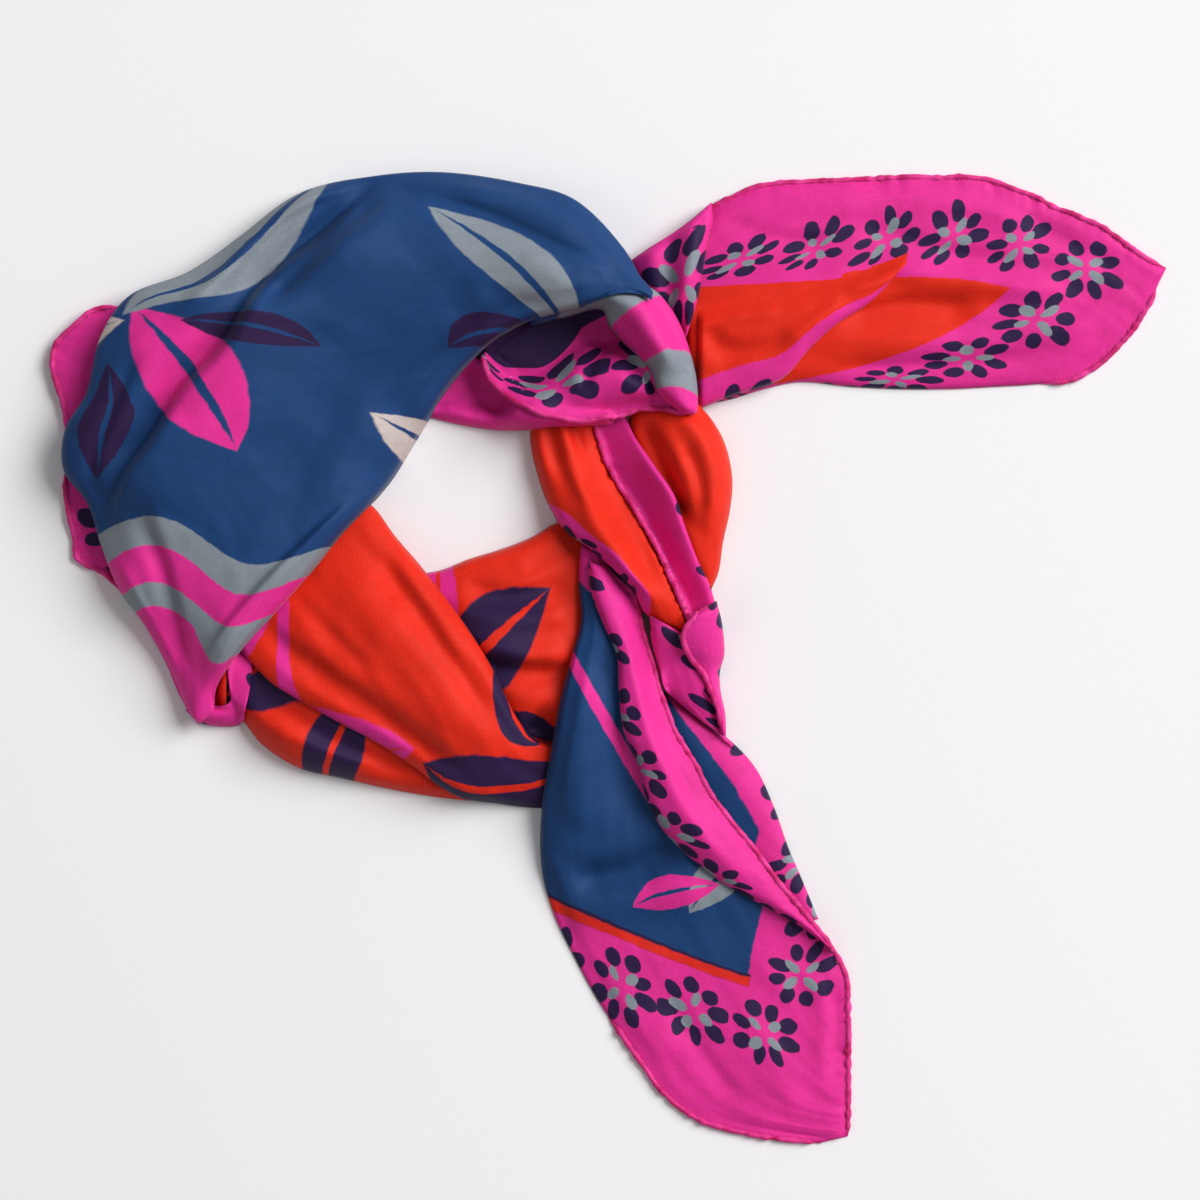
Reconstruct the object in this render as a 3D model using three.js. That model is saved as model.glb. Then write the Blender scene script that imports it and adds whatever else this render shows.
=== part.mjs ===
// Silk square scarf, 900 mm square with a hand-rolled hem. It is folded on the bias into a band, laid in
// a ring and tied in one loose half knot, with both pointed corners free. It lies on a flat surface.
//
// Units are millimetres, +Z is up, the surface is z = 0 and +X runs towards the right-hand free corner.
// Each stretch of cloth that shows is one closed solid. A stretch is a row of sections across the cloth:
// every section runs from edge a to edge b, seen from above, and swells to its own rise between them.
// The stretches are laid down in order, so each one comes to rest on those that already lie there.

import * as THREE from "three";

// ---- driving dimensions -------------------------------------------------------------------------------

const wall = 1.6;            // folded silk at the edge of a stretch
const seamGap = 0.4;         // clearance between two stretches that lie on each other
const hemRadius = 1.4;       // the rolled hem is about 3 mm across
const hemSides = 5;
const hemGap = 0.6;          // clearance between a hem and its cloth, seen from above
const hemMostShare = 0.35;   // the most of a narrow stretch's width that a hem takes
const hemLeastSine = 0.4;    // keeps a hem from widening without end where a section meets its edge askew
const hemRamp = 0.04;        // share of a stretch over which a hem makes room for itself
const hemReach = 3;          // a hem rests on the highest point this near to its centre
const roundness = 2.2;       // higher makes a stretch flatter on top and steeper at its edges
const sectionStep = 10;      // spacing that the rises are interpolated at

// ---- how the stretches are laid -------------------------------------------------------------------------

const mapHalf = 270;         // the height map reaches this far from the middle
const cell = 1;              // its spacing
const sampleShare = 0.5;     // points on a triangle lie this share of a cell apart
const settlePasses = 40;     // the most passes that lift an underside clear of what lies there
const settleEnough = 0.02;   // they end once no point lacks more clearance than this
const settleIgnore = 0.001;
const easePasses = 4;        // how far the cloth spans a step instead of following it
const smoothPasses = 3;

const colours = {
  blue: 0x20487a, orange: 0xc92a1c, pink: 0xd9399a, darkPink: 0x9c1f62, grey: 0x6f8488, shade: 0x5c0a10,
};

// ---- tables -------------------------------------------------------------------------------------------
// Columns of a stretch: edge a (ax, ay), edge b (bx, by), the rise between them, the lowest height of the
// underside at edge a (lift), and how much higher that is at edge b (tilt, 0 where it is left out), all in
// mm. A row is one section.

const columns = ["ax", "ay", "bx", "by", "rise", "lift", "tilt"];

// The fold at the bottom left of the ring: outer edge a, inner edge b under the front strand.
const bandLower = [
  [-158, -26, -154, 4, 9, 0],
  [-149, -38, -139, -2, 14, 0],
  [-133, -48, -122, -10, 16, 0],
  [-116, -52, -105, -20, 15, 0],
  [-94, -57, -88, -32, 12, 0],
  [-77, -60, -73, -44, 8, 0],
  [-60, -62, -58, -54, 4, 0],
];

// The back strand of the ring's lower side: edge a is the rim of the ring's hole.
const bandInner = [
  [-88, 35, -68, 7, 6, 0],
  [-73, 37, -55, -14, 13, 0],
  [-60, 42, -45, -29, 17, 0],
  [-47, 46, -34, -38, 18, 0],
  [-34, 51, -21, -42, 16, 0],
  [-21, 58, -6, -40, 12, 0],
  [-4, 59, 7, -27, 6, 0],
];

// The front strand: edge a is the rim of the hole, edge b lies on the lower fold.
const bandFront = [
  [-113, 70, -163, 10, 6, 0, 0],
  [-102, 65, -154, -1, 9, 0, 10],
  [-92, 52, -144, -11, 10, 4, 11],
  [-80, 38, -129, -20, 11, 9, 8],
  [-68, 23, -113, -29, 12, 13, 4],
  [-58, 9, -98, -37, 12, 15, 0],
  [-49, -6, -83, -47, 12, 15, -2],
  [-43, -19, -73, -55, 11, 13, -4],
  [-38, -28, -62, -61, 10, 10, -6],
  [-32, -35, -49, -63, 9, 6, -6],
  [-23, -38, -34, -65, 7, 0],
  [-15, -39, -19, -65, 4, 0],
];

// Where the band turns under at the lower left: a narrow fold that hooks round the bottom.
const bandTurn = [
  [-176, -18, -181, -24, 3, 0],
  [-173, -22, -177, -28, 5, 0],
  [-167, -24, -169, -29, 6, 0],
  [-162, -22, -159.5, -29, 7, 0],
  [-163, -17, -159, -22, 9, 0],
  [-165, -10, -158.5, -13, 10, 0],
  [-166, -3, -158, -4, 10, 0],
  [-166, 5, -157, 6, 7, 0],
];

const turnInside = [
  [-180, -14, -177, -20, 1, 0],
  [-172, -8, -171, -25, 2, 0],
  [-163, -2, -164, -25, 2, 0],
];

// Border that shows under the band at the left: edge a is the hem.
const cornerUpper = [
  [-209, 150, -192, 150, 1, 3],
  [-219, 150, -190, 138, 1, 4],
  [-230, 143, -191, 126, 1, 4],
  [-238, 135, -193, 115, 1, 3],
  [-240, 126, -196, 105, 1, 3],
  [-237, 114, -200, 96, 1, 3],
  [-234, 103, -206, 89, 1, 2],
  [-234, 94, -213, 85, 1, 2],
];

const cornerLower = [
  [-235, 81, -210, 74, 1, 1],
  [-234, 66, -204, 61, 1, 1],
  [-231, 52, -200, 50, 1, 1],
  [-229, 42, -196, 42, 1, 0],
  [-217, 35, -190, 36, 1, 0],
  [-211, 28, -188, 31, 1, 0],
];

// The right-hand free corner. Edge a is the top hem, edge b the folded edge and then the end hem.
const tailRight = [
  [33, 183, 33, 108, 5, 0],
  [46, 195, 50, 110, 6, 0],
  [64, 203, 67, 115, 7, 0],
  [82, 205, 82, 118, 7, 0],
  [104, 206, 104, 116, 6, 0],
  [125, 207, 125, 115, 5, 0],
  [147, 207, 147, 115, 4, 0],
  [163, 206, 166, 116, 3, 0],
  [179, 200, 183, 117, 2.5, 0],
  [195, 193, 199, 119, 2, 0],
  [211, 186, 212, 127, 2, 0],
  [224, 177, 223, 138, 2, 0],
  [233, 171, 231, 150, 1.5, 0],
  [240, 168, 236, 160, 1, 0],
];

// The pleat that crosses it, with its free folded edge at b.
const tailRightPleat = [
  [38, 150, 38, 106, 3, 0],
  [54, 154, 52, 111.5, 3, 0],
  [74, 157, 74, 119, 3, 0],
  [89, 161, 86, 132, 3, 0],
  [104, 165, 97, 142, 3, 0],
  [117, 169, 111, 150, 2.5, 0],
  [127, 173, 126, 160, 1.5, 0],
];

// The turned part beside the knot: edge b is the folded edge.
const tailRightTurn = [
  [26, 180, 44, 195, 3, 0],
  [15, 174, 44.5, 187, 6, 0],
  [8, 168, 42, 176, 8, 0],
  [12, 158, 40, 164, 8, 0],
  [18, 149, 38, 153, 6, 0],
  [25, 141, 35, 143, 4, 0],
  [30, 134, 32.5, 135, 2, 0],
];

// The lower free corner. Edge a is the folded edge and then the bottom hem, edge b the right hem.
const tailDown = [
  [-12, 48, 0, 45, 3, 0],
  [-13, 33, 7, 29, 5, 0],
  [-12, 16, 13, 11, 7, 0],
  [-16, 0, 18, -4, 9, 0],
  [-21, -19, 22, -24, 11, 0],
  [-25, -41, 32, -40, 12, 0],
  [-29, -66, 44, -62, 12, 0],
  [-29, -91, 58, -80, 10, 0],
  [-24, -110, 73, -98, 7, 0],
  [-15, -129, 88, -115, 4, 0],
  [-4, -149, 102, -134, 2.5, 0],
  [10, -169, 104, -156, 2, 0],
  [23, -187, 104, -174, 2, 0],
  [39, -199, 104, -189, 2, 0],
  [65, -206, 104, -199, 1.5, 0],
  [91, -209, 103.5, -206, 1, 0],
];

// Its back layer, which shows to the right of the rolled border.
const tailDownBack = [
  [18, -14, 26, -16, 2, 0],
  [22, -31, 39, -27, 4, 0],
  [30, -48, 52, -36, 5, 0],
  [38, -62, 63, -48, 5, 0],
  [48, -75, 71, -65, 4, 0],
  [60, -88, 77, -82, 3, 0],
  [72, -101, 83, -96, 2, 0],
  [85, -113, 90, -113, 1, 0],
];

// The border rolled over in front: edge a is the bottom of the valley, edge b the hem.
const tailDownFlap = [
  [-9, 41, 1, 38, 3, 0],
  [-8, 29, 12, 25, 5, 0],
  [-3, 15, 15, 13, 6, 0],
  [3, 1, 19, 0, 6, 0],
  [4, -14, 23, -14, 6, 0],
  [6, -31, 29, -31, 6, 0],
  [12, -45, 38, -46, 6, 0],
  [16, -61, 45, -59, 6, 0],
  [23, -74, 55, -72, 6, 0],
  [35, -86, 64, -83, 5, 0],
  [49, -97, 72, -94, 4, 0],
  [65, -106, 81, -105, 3, 0],
  [81, -115, 90, -116, 2, 0],
  [95, -125, 98, -128, 1, 0],
];

// The gathered cloth below the knot: the left lobe, edge b beside the border strip.
const dropLeft = [
  [-30, 116, -6, 118, 6, 0],
  [-34, 95, -4, 95, 12, 0],
  [-31, 79, 1, 79, 14, 0],
  [-26, 65, 10, 65, 13, 0],
  [-19, 54, 18, 50, 10, 12, 0],
  [-8, 46, 23, 39, 7, 18, 0],
  [1, 38, 28, 28, 5, 22, -4],
  [10, 29, 32, 19, 4, 22, -6],
  [15, 19, 34.5, 11, 3, 18, -6],
  [20, 15, 35, 7, 2, 12, -4],
];

// The right lobe: edge a under the border strip, edge b the outside.
const dropRight = [
  [12, 112, 34, 112, 7, 0],
  [8, 97, 44, 102, 14, 0],
  [12, 85, 50, 91, 17, 0],
  [17, 74, 53, 76, 17, 0],
  [22, 61, 52, 63, 15, 0],
  [28, 47, 49, 49, 11, 0],
  [34, 36, 47, 36, 7, 0],
  [40, 29, 44, 29, 3, 0],
];

const dropStrip = [
  [-9, 108, 5, 110, 2, 0],
  [-6, 95, 10, 96, 2, 0],
  [-2, 83, 18, 84, 2, 0],
  [6, 69, 28, 69, 2, 0],
  [14, 56, 33, 54, 2.5, 0],
  [21, 43, 38, 41, 2.5, 0],
  [26, 31, 43, 31, 3, 0],
  [31, 20, 46.5, 20, 3, 0],
  [34.5, 9, 48.5, 12, 2, 0],
];

// The turned lower end of the border strip, in two layers.
const dropUnder = [
  [17, 18, 35, 8, 3, 14, 6],
  [18, 7, 39, -4, 5, 14, -4],
  [21, -4, 45, -15, 6, 10, -4],
  [24, -14, 48, -26, 5, 0],
  [35, -24, 50, -34, 3, 0],
  [46, -32, 55, -39, 1.5, 0],
];

const dropTurn = [
  [33, 13, 48, 19, 3, 22, -2],
  [29, 5, 49, 10, 5, 22, -8],
  [34, -1, 49.5, 1, 5, 14, -6],
  [39, -8, 47.5, -7, 4, 9, -4],
  [43, -16, 48, -15, 3, 0],
  [46, -25, 50, -25, 2, 0],
  [47.5, -33, 50, -34, 1, 0],
];

// The flared border at the knot: the outside below its hem, then the inside above it (edge a is the hem).
const knotPouch = [
  [-82, 118, -78, 103, 5, 0],
  [-69, 124, -66, 100, 9, 0],
  [-56, 129, -55, 98, 12, 0],
  [-46, 122, -45, 97, 12, 2],
  [-36, 112, -35, 97, 10, 8],
  [-25, 106, -25, 98, 5, 14],
];

const knotMouth = [
  [-55, 128, -54, 134, 2, 12],
  [-51, 117, -43, 140, 4, 12],
  [-42, 109, -32, 148, 5, 12],
  [-28, 102, -21, 153, 6, 12],
  [-12, 99.5, -8, 153, 7, 12],
  [1, 101, 5, 146, 8, 12],
  [13, 104.5, 16, 133, 8, 12],
  [22, 104.5, 23, 120, 6, 12],
  [30, 103, 31, 112, 4, 12],
  [36, 102, 36.5, 106, 2, 12],
];

// The end of the broad band curled over the knot: edge a the outside, edge b the rim that faces the mouth.
const knotLip = [
  [-35, 146, -33, 141.5, 1, 14],
  [-22, 151, -19, 145, 3, 16],
  [-8, 157, -3, 148, 5, 18],
  [8, 160, 0, 141, 7, 18],
  [19, 157, 6, 134, 8, 18],
  [27, 148, 12, 128, 8, 18],
  [32.5, 137, 18, 121, 8, 16],
  [36.5, 124, 20, 114, 7, 14],
  [38, 112, 24, 109, 5, 12],
  [37.5, 104, 32, 103, 2, 12],
];

// The broad band from the lower left over the top to the knot: edge a the outside, edge b the rim of the hole.
const bandUpper = [
  [-182, -25, -175, -19, 4, 0],
  [-187, -7, -166, -7, 9, 0],
  [-200, 14, -154, 6, 14, 0],
  [-210, 28, -139, 22, 18, 0],
  [-218, 48, -125, 38, 21, 0],
  [-224, 66, -114, 52, 23, 0],
  [-234, 80, -102, 65, 24, 0],
  [-233, 97, -93, 76, 25, 0],
  [-224, 112, -85, 89, 26, 0],
  [-218, 136, -77, 102, 26, 0],
  [-206, 154, -71, 112, 26, 0],
  [-180, 165, -64, 121, 26, 0],
  [-159, 180, -55, 130, 24, 0, 8],
  [-133, 199, -47, 136, 21, 0, 14],
  [-103, 206, -36, 142, 18, 0, 19],
  [-73, 208, -25, 145, 15, 0, 24],
  [-38, 203, -12, 148, 11, 2, 26],
  [-15, 196, -4, 151, 8, 8, 22],
  [6, 175, 5, 153.5, 4, 18, 12],
  [14, 161, 14, 153, 2.5, 24, 6],
  [22, 150, 21, 148.5, 1.5, 27, 2],
];

// The largest folds, as soft troughs (depth above 0) or ridges (below 0) along a line on the band.
const foldColumns = ["x0", "y0", "x1", "y1", "depth", "width"];
const bandUpperFolds = [
  [-90, 200, -141, 153, 5, 7],
  [-141, 153, -178, 108, 4, 8],
  [-178, 108, -214, 55, 3, 7],
  [-104, 188, -150, 148, -4, 9],
  [-160, 110, -190, 60, -3, 12],
  [-70, 140, -30, 160, -3, 12],
  [-120, 60, -150, 20, 4, 8],
];
const bandFrontFolds = [
  [-140, 5, -60, -50, 3, 7],
];
const tailRightFolds = [
  [104, 150, 165, 152, 2, 5],
  [125, 170, 175, 162, -2, 6],
];
const tailDownFolds = [
  [0, -60, 6, -112, 3, 9],
];

// ---- the height map that stretches are laid on -----------------------------------------------------------

const mapSide = Math.ceil(2 * mapHalf / cell);
const heights = new Float64Array(mapSide * mapSide);

function mapIndex(value) {
  return Math.min(mapSide - 1, Math.max(0, Math.floor((value + mapHalf) / cell)));
}

function heightAt(x, y) {
  return heights[mapIndex(y) * mapSide + mapIndex(x)];
}

function raiseMap(x, y, z) {
  const index = mapIndex(y) * mapSide + mapIndex(x);
  heights[index] = Math.max(heights[index], z);
}

// Calls visit(x, y, z, weights) at points spread over a triangle, no further apart than the map's cells.
function overTriangle(p, q, r, visit) {
  const longest = Math.max(
    Math.hypot(p.x - q.x, p.y - q.y), Math.hypot(q.x - r.x, q.y - r.y), Math.hypot(r.x - p.x, r.y - p.y));
  const steps = Math.max(1, Math.ceil(longest / (sampleShare * cell)));
  for (let i = 0; i <= steps; i += 1) {
    for (let j = 0; j <= steps - i; j += 1) {
      const weights = [i / steps, j / steps, 1 - (i + j) / steps];
      visit(
        weights[0] * p.x + weights[1] * q.x + weights[2] * r.x,
        weights[0] * p.y + weights[1] * q.y + weights[2] * r.y,
        weights[0] * p.z + weights[1] * q.z + weights[2] * r.z,
        weights);
    }
  }
}

// ---- sections and surfaces -------------------------------------------------------------------------------

function namedRows(names, rows) {
  return rows.map((row) => Object.fromEntries(names.map((name, i) => [name, row[i] ?? 0])));
}

function smoothCurve(points) {
  return new THREE.CatmullRomCurve3(points, false, "centripetal");
}

// Width that a hem takes from the cloth at t along the stretch; 0 outside the hem's own length.
function hemShare(hem, t) {
  if (!hem) {
    return 0;
  }
  const inside = Math.min((t - hem.from) / hemRamp, (hem.to - t) / hemRamp) + 1;
  return Math.min(1, Math.max(0, inside));
}

// How far a set of folds lowers the cloth at a point.
function foldDepth(folds, x, y) {
  let total = 0;
  for (const fold of folds) {
    const dx = fold.x1 - fold.x0;
    const dy = fold.y1 - fold.y0;
    const along = ((x - fold.x0) * dx + (y - fold.y0) * dy) / (dx * dx + dy * dy);
    const t = Math.min(1, Math.max(0, along));
    const distance = Math.hypot(x - fold.x0 - t * dx, y - fold.y0 - t * dy);
    total += fold.depth * Math.exp(-((distance / fold.width) ** 2));
  }
  return total;
}

// Sine of the angle in plan between an edge and the section that meets it, so hems keep their true width.
function squareness(edge, t, a, b) {
  const run = edge.getTangent(t);
  const cross = run.x * (b.y - a.y) - run.y * (b.x - a.x);
  const sine = Math.abs(cross) / (Math.hypot(run.x, run.y) * Math.hypot(b.x - a.x, b.y - a.y));
  return Math.max(hemLeastSine, sine);
}

// The plan of a stretch: a grid of points, `across` from edge a to edge b and `along` down its length.
function planGrid(rows, along, across, hems) {
  const edgeA = smoothCurve(rows.map((row) => new THREE.Vector3(row.ax, row.ay, row.lift)));
  const edgeB = smoothCurve(rows.map((row) => new THREE.Vector3(row.bx, row.by, row.lift + row.tilt)));
  const rises = smoothCurve(rows.map((row, i) => new THREE.Vector3(i * sectionStep, row.rise, 0)));
  const hemWidth = 2 * hemRadius + hemGap;
  const grid = [];
  for (let i = 0; i <= along; i += 1) {
    const t = i / along;
    const a = edgeA.getPoint(t);
    const b = edgeB.getPoint(t);
    const width = Math.hypot(b.x - a.x, b.y - a.y);
    const sineA = squareness(edgeA, t, a, b);
    const sineB = squareness(edgeB, t, a, b);
    const most = hemMostShare * width;
    const from = Math.min(hemWidth / sineA, most) * hemShare(hems.a, t) / width;
    const to = 1 - Math.min(hemWidth / sineB, most) * hemShare(hems.b, t) / width;
    const line = [];
    for (let j = 0; j <= across; j += 1) {
      const v = 0.5 - 0.5 * Math.cos(Math.PI * j / across);
      const share = from + (to - from) * v;
      line.push({
        x: a.x + (b.x - a.x) * share,
        y: a.y + (b.y - a.y) * share,
        rise: rises.getPoint(t).y,
        lift: Math.max(0, a.z + (b.z - a.z) * share),
        v,
      });
    }
    grid.push({ points: line, a, b, sineA, sineB });
  }
  return grid;
}

function gridTriangles(along, across) {
  const triangles = [];
  for (let i = 0; i < along; i += 1) {
    for (let j = 0; j < across; j += 1) {
      triangles.push([[i, j], [i + 1, j], [i + 1, j + 1]]);
      triangles.push([[i, j], [i + 1, j + 1], [i, j + 1]]);
    }
  }
  return triangles;
}

// Lets the underside sink until it touches what already lies there, and lifts it clear of every bump.
function settle(under, triangles) {
  for (const line of under) {
    for (const point of line) {
      const below = heightAt(point.x, point.y);
      point.z = Math.max(point.lift, below > 0 ? below + seamGap : 0);
    }
  }
  for (let pass = 0; pass < settlePasses; pass += 1) {
    let worst = 0;
    for (const corners of triangles) {
      const [p, q, r] = corners.map(([i, j]) => under[i][j]);
      overTriangle(p, q, r, (x, y, z, weights) => {
        const below = heightAt(x, y);
        if (below <= 0) {
          return;
        }
        const lack = below + seamGap - (weights[0] * p.z + weights[1] * q.z + weights[2] * r.z);
        if (lack > settleIgnore) {
          worst = Math.max(worst, lack);
          const norm = weights[0] ** 2 + weights[1] ** 2 + weights[2] ** 2;
          p.z += lack * weights[0] / norm;
          q.z += lack * weights[1] / norm;
          r.z += lack * weights[2] / norm;
        }
      });
    }
    if (worst < settleEnough) {
      break;
    }
  }
}

function smoothed(values) {
  return values.map((line, i) => line.map((value, j) => {
    const around = [];
    for (const [di, dj] of [[-1, 0], [1, 0], [0, -1], [0, 1]]) {
      if (values[i + di] !== undefined && values[i + di][j + dj] !== undefined) {
        around.push(values[i + di][j + dj]);
      }
    }
    const mean = around.reduce((sum, item) => sum + item, 0) / around.length;
    return 0.5 * value + 0.5 * mean;
  }));
}

// The ground that the top of a stretch swells from. Cloth spans the foot of a step instead of following it,
// so a point is first drawn up towards its neighbours, never down, and the whole is then smoothed.
function softGround(under) {
  let ground = under.map((line) => line.map((point) => point.z));
  for (let pass = 0; pass < easePasses; pass += 1) {
    const mean = smoothed(ground);
    ground = ground.map((line, i) => line.map((z, j) => Math.max(z, mean[i][j])));
  }
  for (let pass = 0; pass < smoothPasses; pass += 1) {
    ground = smoothed(ground);
  }
  return ground;
}

// ---- solids ----------------------------------------------------------------------------------------------

function meshFrom(name, colour, positions, faces) {
  const geometry = new THREE.BufferGeometry();
  geometry.setAttribute("position", new THREE.Float32BufferAttribute(positions.flat(), 3));
  geometry.setIndex(faces.flat());
  let volume = 0;
  for (const [a, b, c] of faces) {
    const [p, q, r] = [positions[a], positions[b], positions[c]].map((v) => new THREE.Vector3(...v));
    volume += p.dot(q.cross(r));
  }
  if (volume < 0) {
    geometry.setIndex(faces.map(([a, b, c]) => [a, c, b]).flat());
  }
  geometry.computeVertexNormals();
  const material = new THREE.MeshStandardMaterial({ color: colour, roughness: 0.55, metalness: 0 });
  const mesh = new THREE.Mesh(geometry, material);
  mesh.name = name;
  return mesh;
}

function blanketSolid(name, colour, under, over) {
  const along = under.length - 1;
  const across = under[0].length - 1;
  const positions = [];
  const lowIndex = (i, j) => i * (across + 1) + j;
  const highIndex = (i, j) => (along + 1) * (across + 1) + lowIndex(i, j);
  for (const surface of [under, over]) {
    for (const line of surface) {
      for (const point of line) {
        positions.push([point.x, point.y, point.z]);
      }
    }
  }
  const faces = [];
  for (const [[i0, j0], [i1, j1], [i2, j2]] of gridTriangles(along, across)) {
    faces.push([highIndex(i0, j0), highIndex(i1, j1), highIndex(i2, j2)]);
    faces.push([lowIndex(i0, j0), lowIndex(i2, j2), lowIndex(i1, j1)]);
  }
  const side = (i0, j0, i1, j1) => {
    faces.push([lowIndex(i0, j0), lowIndex(i1, j1), highIndex(i1, j1)]);
    faces.push([lowIndex(i0, j0), highIndex(i1, j1), highIndex(i0, j0)]);
  };
  for (let i = 0; i < along; i += 1) {
    side(i, 0, i + 1, 0);
    side(i + 1, across, i, across);
  }
  for (let j = 0; j < across; j += 1) {
    side(0, j + 1, 0, j);
    side(along, j, along, j + 1);
  }
  return meshFrom(name, colour, positions, faces);
}

// The section of a hem stands on one of its flats.
const hemTurn = -Math.PI / 2 + Math.PI / hemSides;
const hemFoot = Math.cos(Math.PI / hemSides);

// A rolled hem: a tube along one edge of a stretch, resting on whatever lies under it.
function hemSolid(name, grid, under, side, hem) {
  const centres = [];
  grid.forEach((section, i) => {
    const t = i / (grid.length - 1);
    if (hemShare(hem, t) < 1) {
      return;
    }
    const edge = side === "a" ? section.a : section.b;
    const other = side === "a" ? section.b : section.a;
    const inward = new THREE.Vector2(other.x - edge.x, other.y - edge.y).normalize();
    const beside = under[i][side === "a" ? 0 : under[i].length - 1];
    const sine = side === "a" ? section.sineA : section.sineB;
    const room = Math.hypot(beside.x - edge.x, beside.y - edge.y) * sine;
    const radius = Math.min(hemRadius, (room - hemGap) / 2);
    const x = edge.x + inward.x * radius / sine;
    const y = edge.y + inward.y * radius / sine;
    let below = 0;
    for (let dx = -hemReach; dx <= hemReach; dx += cell) {
      for (let dy = -hemReach; dy <= hemReach; dy += cell) {
        below = Math.max(below, heightAt(x + dx, y + dy));
      }
    }
    const floor = below > 0 ? below + seamGap : 0;
    centres.push(new THREE.Vector4(x, y, Math.max(floor, beside.z) + radius * hemFoot, radius));
  });
  const positions = [];
  const faces = [];
  centres.forEach((centre, i) => {
    const next = centres[Math.min(i + 1, centres.length - 1)];
    const last = centres[Math.max(i - 1, 0)];
    const tangent = new THREE.Vector2(next.x - last.x, next.y - last.y).normalize();
    for (let k = 0; k < hemSides; k += 1) {
      const angle = hemTurn + 2 * Math.PI * k / hemSides;
      const out = centre.w * Math.cos(angle);
      positions.push([
        centre.x - tangent.y * out, centre.y + tangent.x * out, centre.z + centre.w * Math.sin(angle)]);
    }
  });
  for (let i = 0; i + 1 < centres.length; i += 1) {
    for (let k = 0; k < hemSides; k += 1) {
      const k1 = (k + 1) % hemSides;
      faces.push([i * hemSides + k, i * hemSides + k1, (i + 1) * hemSides + k1]);
      faces.push([i * hemSides + k, (i + 1) * hemSides + k1, (i + 1) * hemSides + k]);
    }
  }
  const last = (centres.length - 1) * hemSides;
  for (let k = 1; k + 1 < hemSides; k += 1) {
    faces.push([0, k + 1, k]);
    faces.push([last, last + k, last + k + 1]);
  }
  return meshFrom(name, colours.darkPink, positions, faces);
}

// ---- laying the scarf down -------------------------------------------------------------------------------

const scarf = new THREE.Group();

function addToMap(mesh) {
  const position = mesh.geometry.getAttribute("position");
  const index = mesh.geometry.getIndex().array;
  const corner = (k) => new THREE.Vector3().fromBufferAttribute(position, index[k]);
  for (let k = 0; k < index.length; k += 3) {
    overTriangle(corner(k), corner(k + 1), corner(k + 2), raiseMap);
  }
}

// Lays one stretch: its underside settles on the map, its top swells by the rise, its hems follow its edges.
function lay(name, colour, table, { along, across = 6, folds = [], hems = {} }) {
  const rows = namedRows(columns, table);
  const troughs = namedRows(foldColumns, folds);
  const grid = planGrid(rows, along, across, hems);
  const under = grid.map((section) => section.points.map((point) => ({ ...point, z: 0 })));
  settle(under, gridTriangles(along, across));
  const soft = softGround(under);
  const over = under.map((line, i) => line.map((point, j) => {
    const swell = (1 - Math.abs(2 * point.v - 1) ** roundness) ** 0.5;
    const z = soft[i][j] + wall + point.rise * swell - foldDepth(troughs, point.x, point.y) * swell;
    return { ...point, z: Math.max(z, point.z + wall) };
  }));
  const made = [blanketSolid(name, colour, under, over)];
  for (const side of ["a", "b"]) {
    if (hems[side]) {
      made.push(hemSolid(hems[side].name, grid, under, side, hems[side]));
    }
  }
  for (const mesh of made) {
    addToMap(mesh);
    scarf.add(mesh);
  }
}

// The ring's lower side and the corners that show under the band
lay("band_lower", colours.orange, bandLower, { along: 12 });
lay("band_inner", colours.orange, bandInner, { along: 12 });
lay("turn_inside", colours.shade, turnInside, { along: 4, across: 3 });
lay("band_turn", colours.pink, bandTurn, { along: 12, across: 4 });
lay("band_front", colours.orange, bandFront, { along: 18, across: 5, folds: bandFrontFolds });
lay("corner_upper", colours.pink, cornerUpper, {
  along: 12, across: 3, hems: { a: { name: "hem_corner_upper", from: 0, to: 1 } } });
lay("corner_lower", colours.pink, cornerLower, {
  along: 8, across: 3, hems: { a: { name: "hem_corner_lower", from: 0, to: 1 } } });

// The lower free corner
lay("tail_down_back", colours.pink, tailDownBack, { along: 12, across: 4 });
lay("tail_down", colours.blue, tailDown, {
  along: 24, folds: tailDownFolds,
  hems: { a: { name: "hem_down_bottom", from: 0.5, to: 1 }, b: { name: "hem_down_side", from: 0.66, to: 1 } } });
lay("tail_down_flap", colours.pink, tailDownFlap, {
  along: 22, across: 4, hems: { b: { name: "hem_flap", from: 0.04, to: 1 } } });

// The right-hand free corner
lay("tail_right", colours.pink, tailRight, {
  along: 22, folds: tailRightFolds,
  hems: { a: { name: "hem_right_top", from: 0.04, to: 1 }, b: { name: "hem_right_end", from: 0.69, to: 1 } } });
lay("tail_right_pleat", colours.orange, tailRightPleat, { along: 12, across: 5 });
lay("tail_right_turn", colours.pink, tailRightTurn, { along: 12, across: 5 });

// The gathered cloth below the knot
lay("drop_left", colours.orange, dropLeft, { along: 14, across: 5 });
lay("drop_right", colours.orange, dropRight, { along: 12, across: 5 });
lay("drop_under", colours.pink, dropUnder, { along: 10, across: 4 });
lay("drop_strip", colours.pink, dropStrip, {
  along: 16, across: 4, hems: { a: { name: "hem_strip", from: 0, to: 1 } } });
lay("drop_turn", colours.pink, dropTurn, {
  along: 12, across: 4, hems: { a: { name: "hem_turn", from: 0.1, to: 1 } } });

// The knot, and the broad band over it
lay("knot_pouch", colours.darkPink, knotPouch, { along: 10, across: 5 });
lay("knot_mouth", colours.pink, knotMouth, {
  along: 16, across: 5, hems: { a: { name: "hem_mouth", from: 0, to: 1 } } });
lay("knot_lip", colours.grey, knotLip, { along: 16, across: 5 });
lay("band_upper", colours.blue, bandUpper, { along: 30, across: 8, folds: bandUpperFolds });

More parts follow.
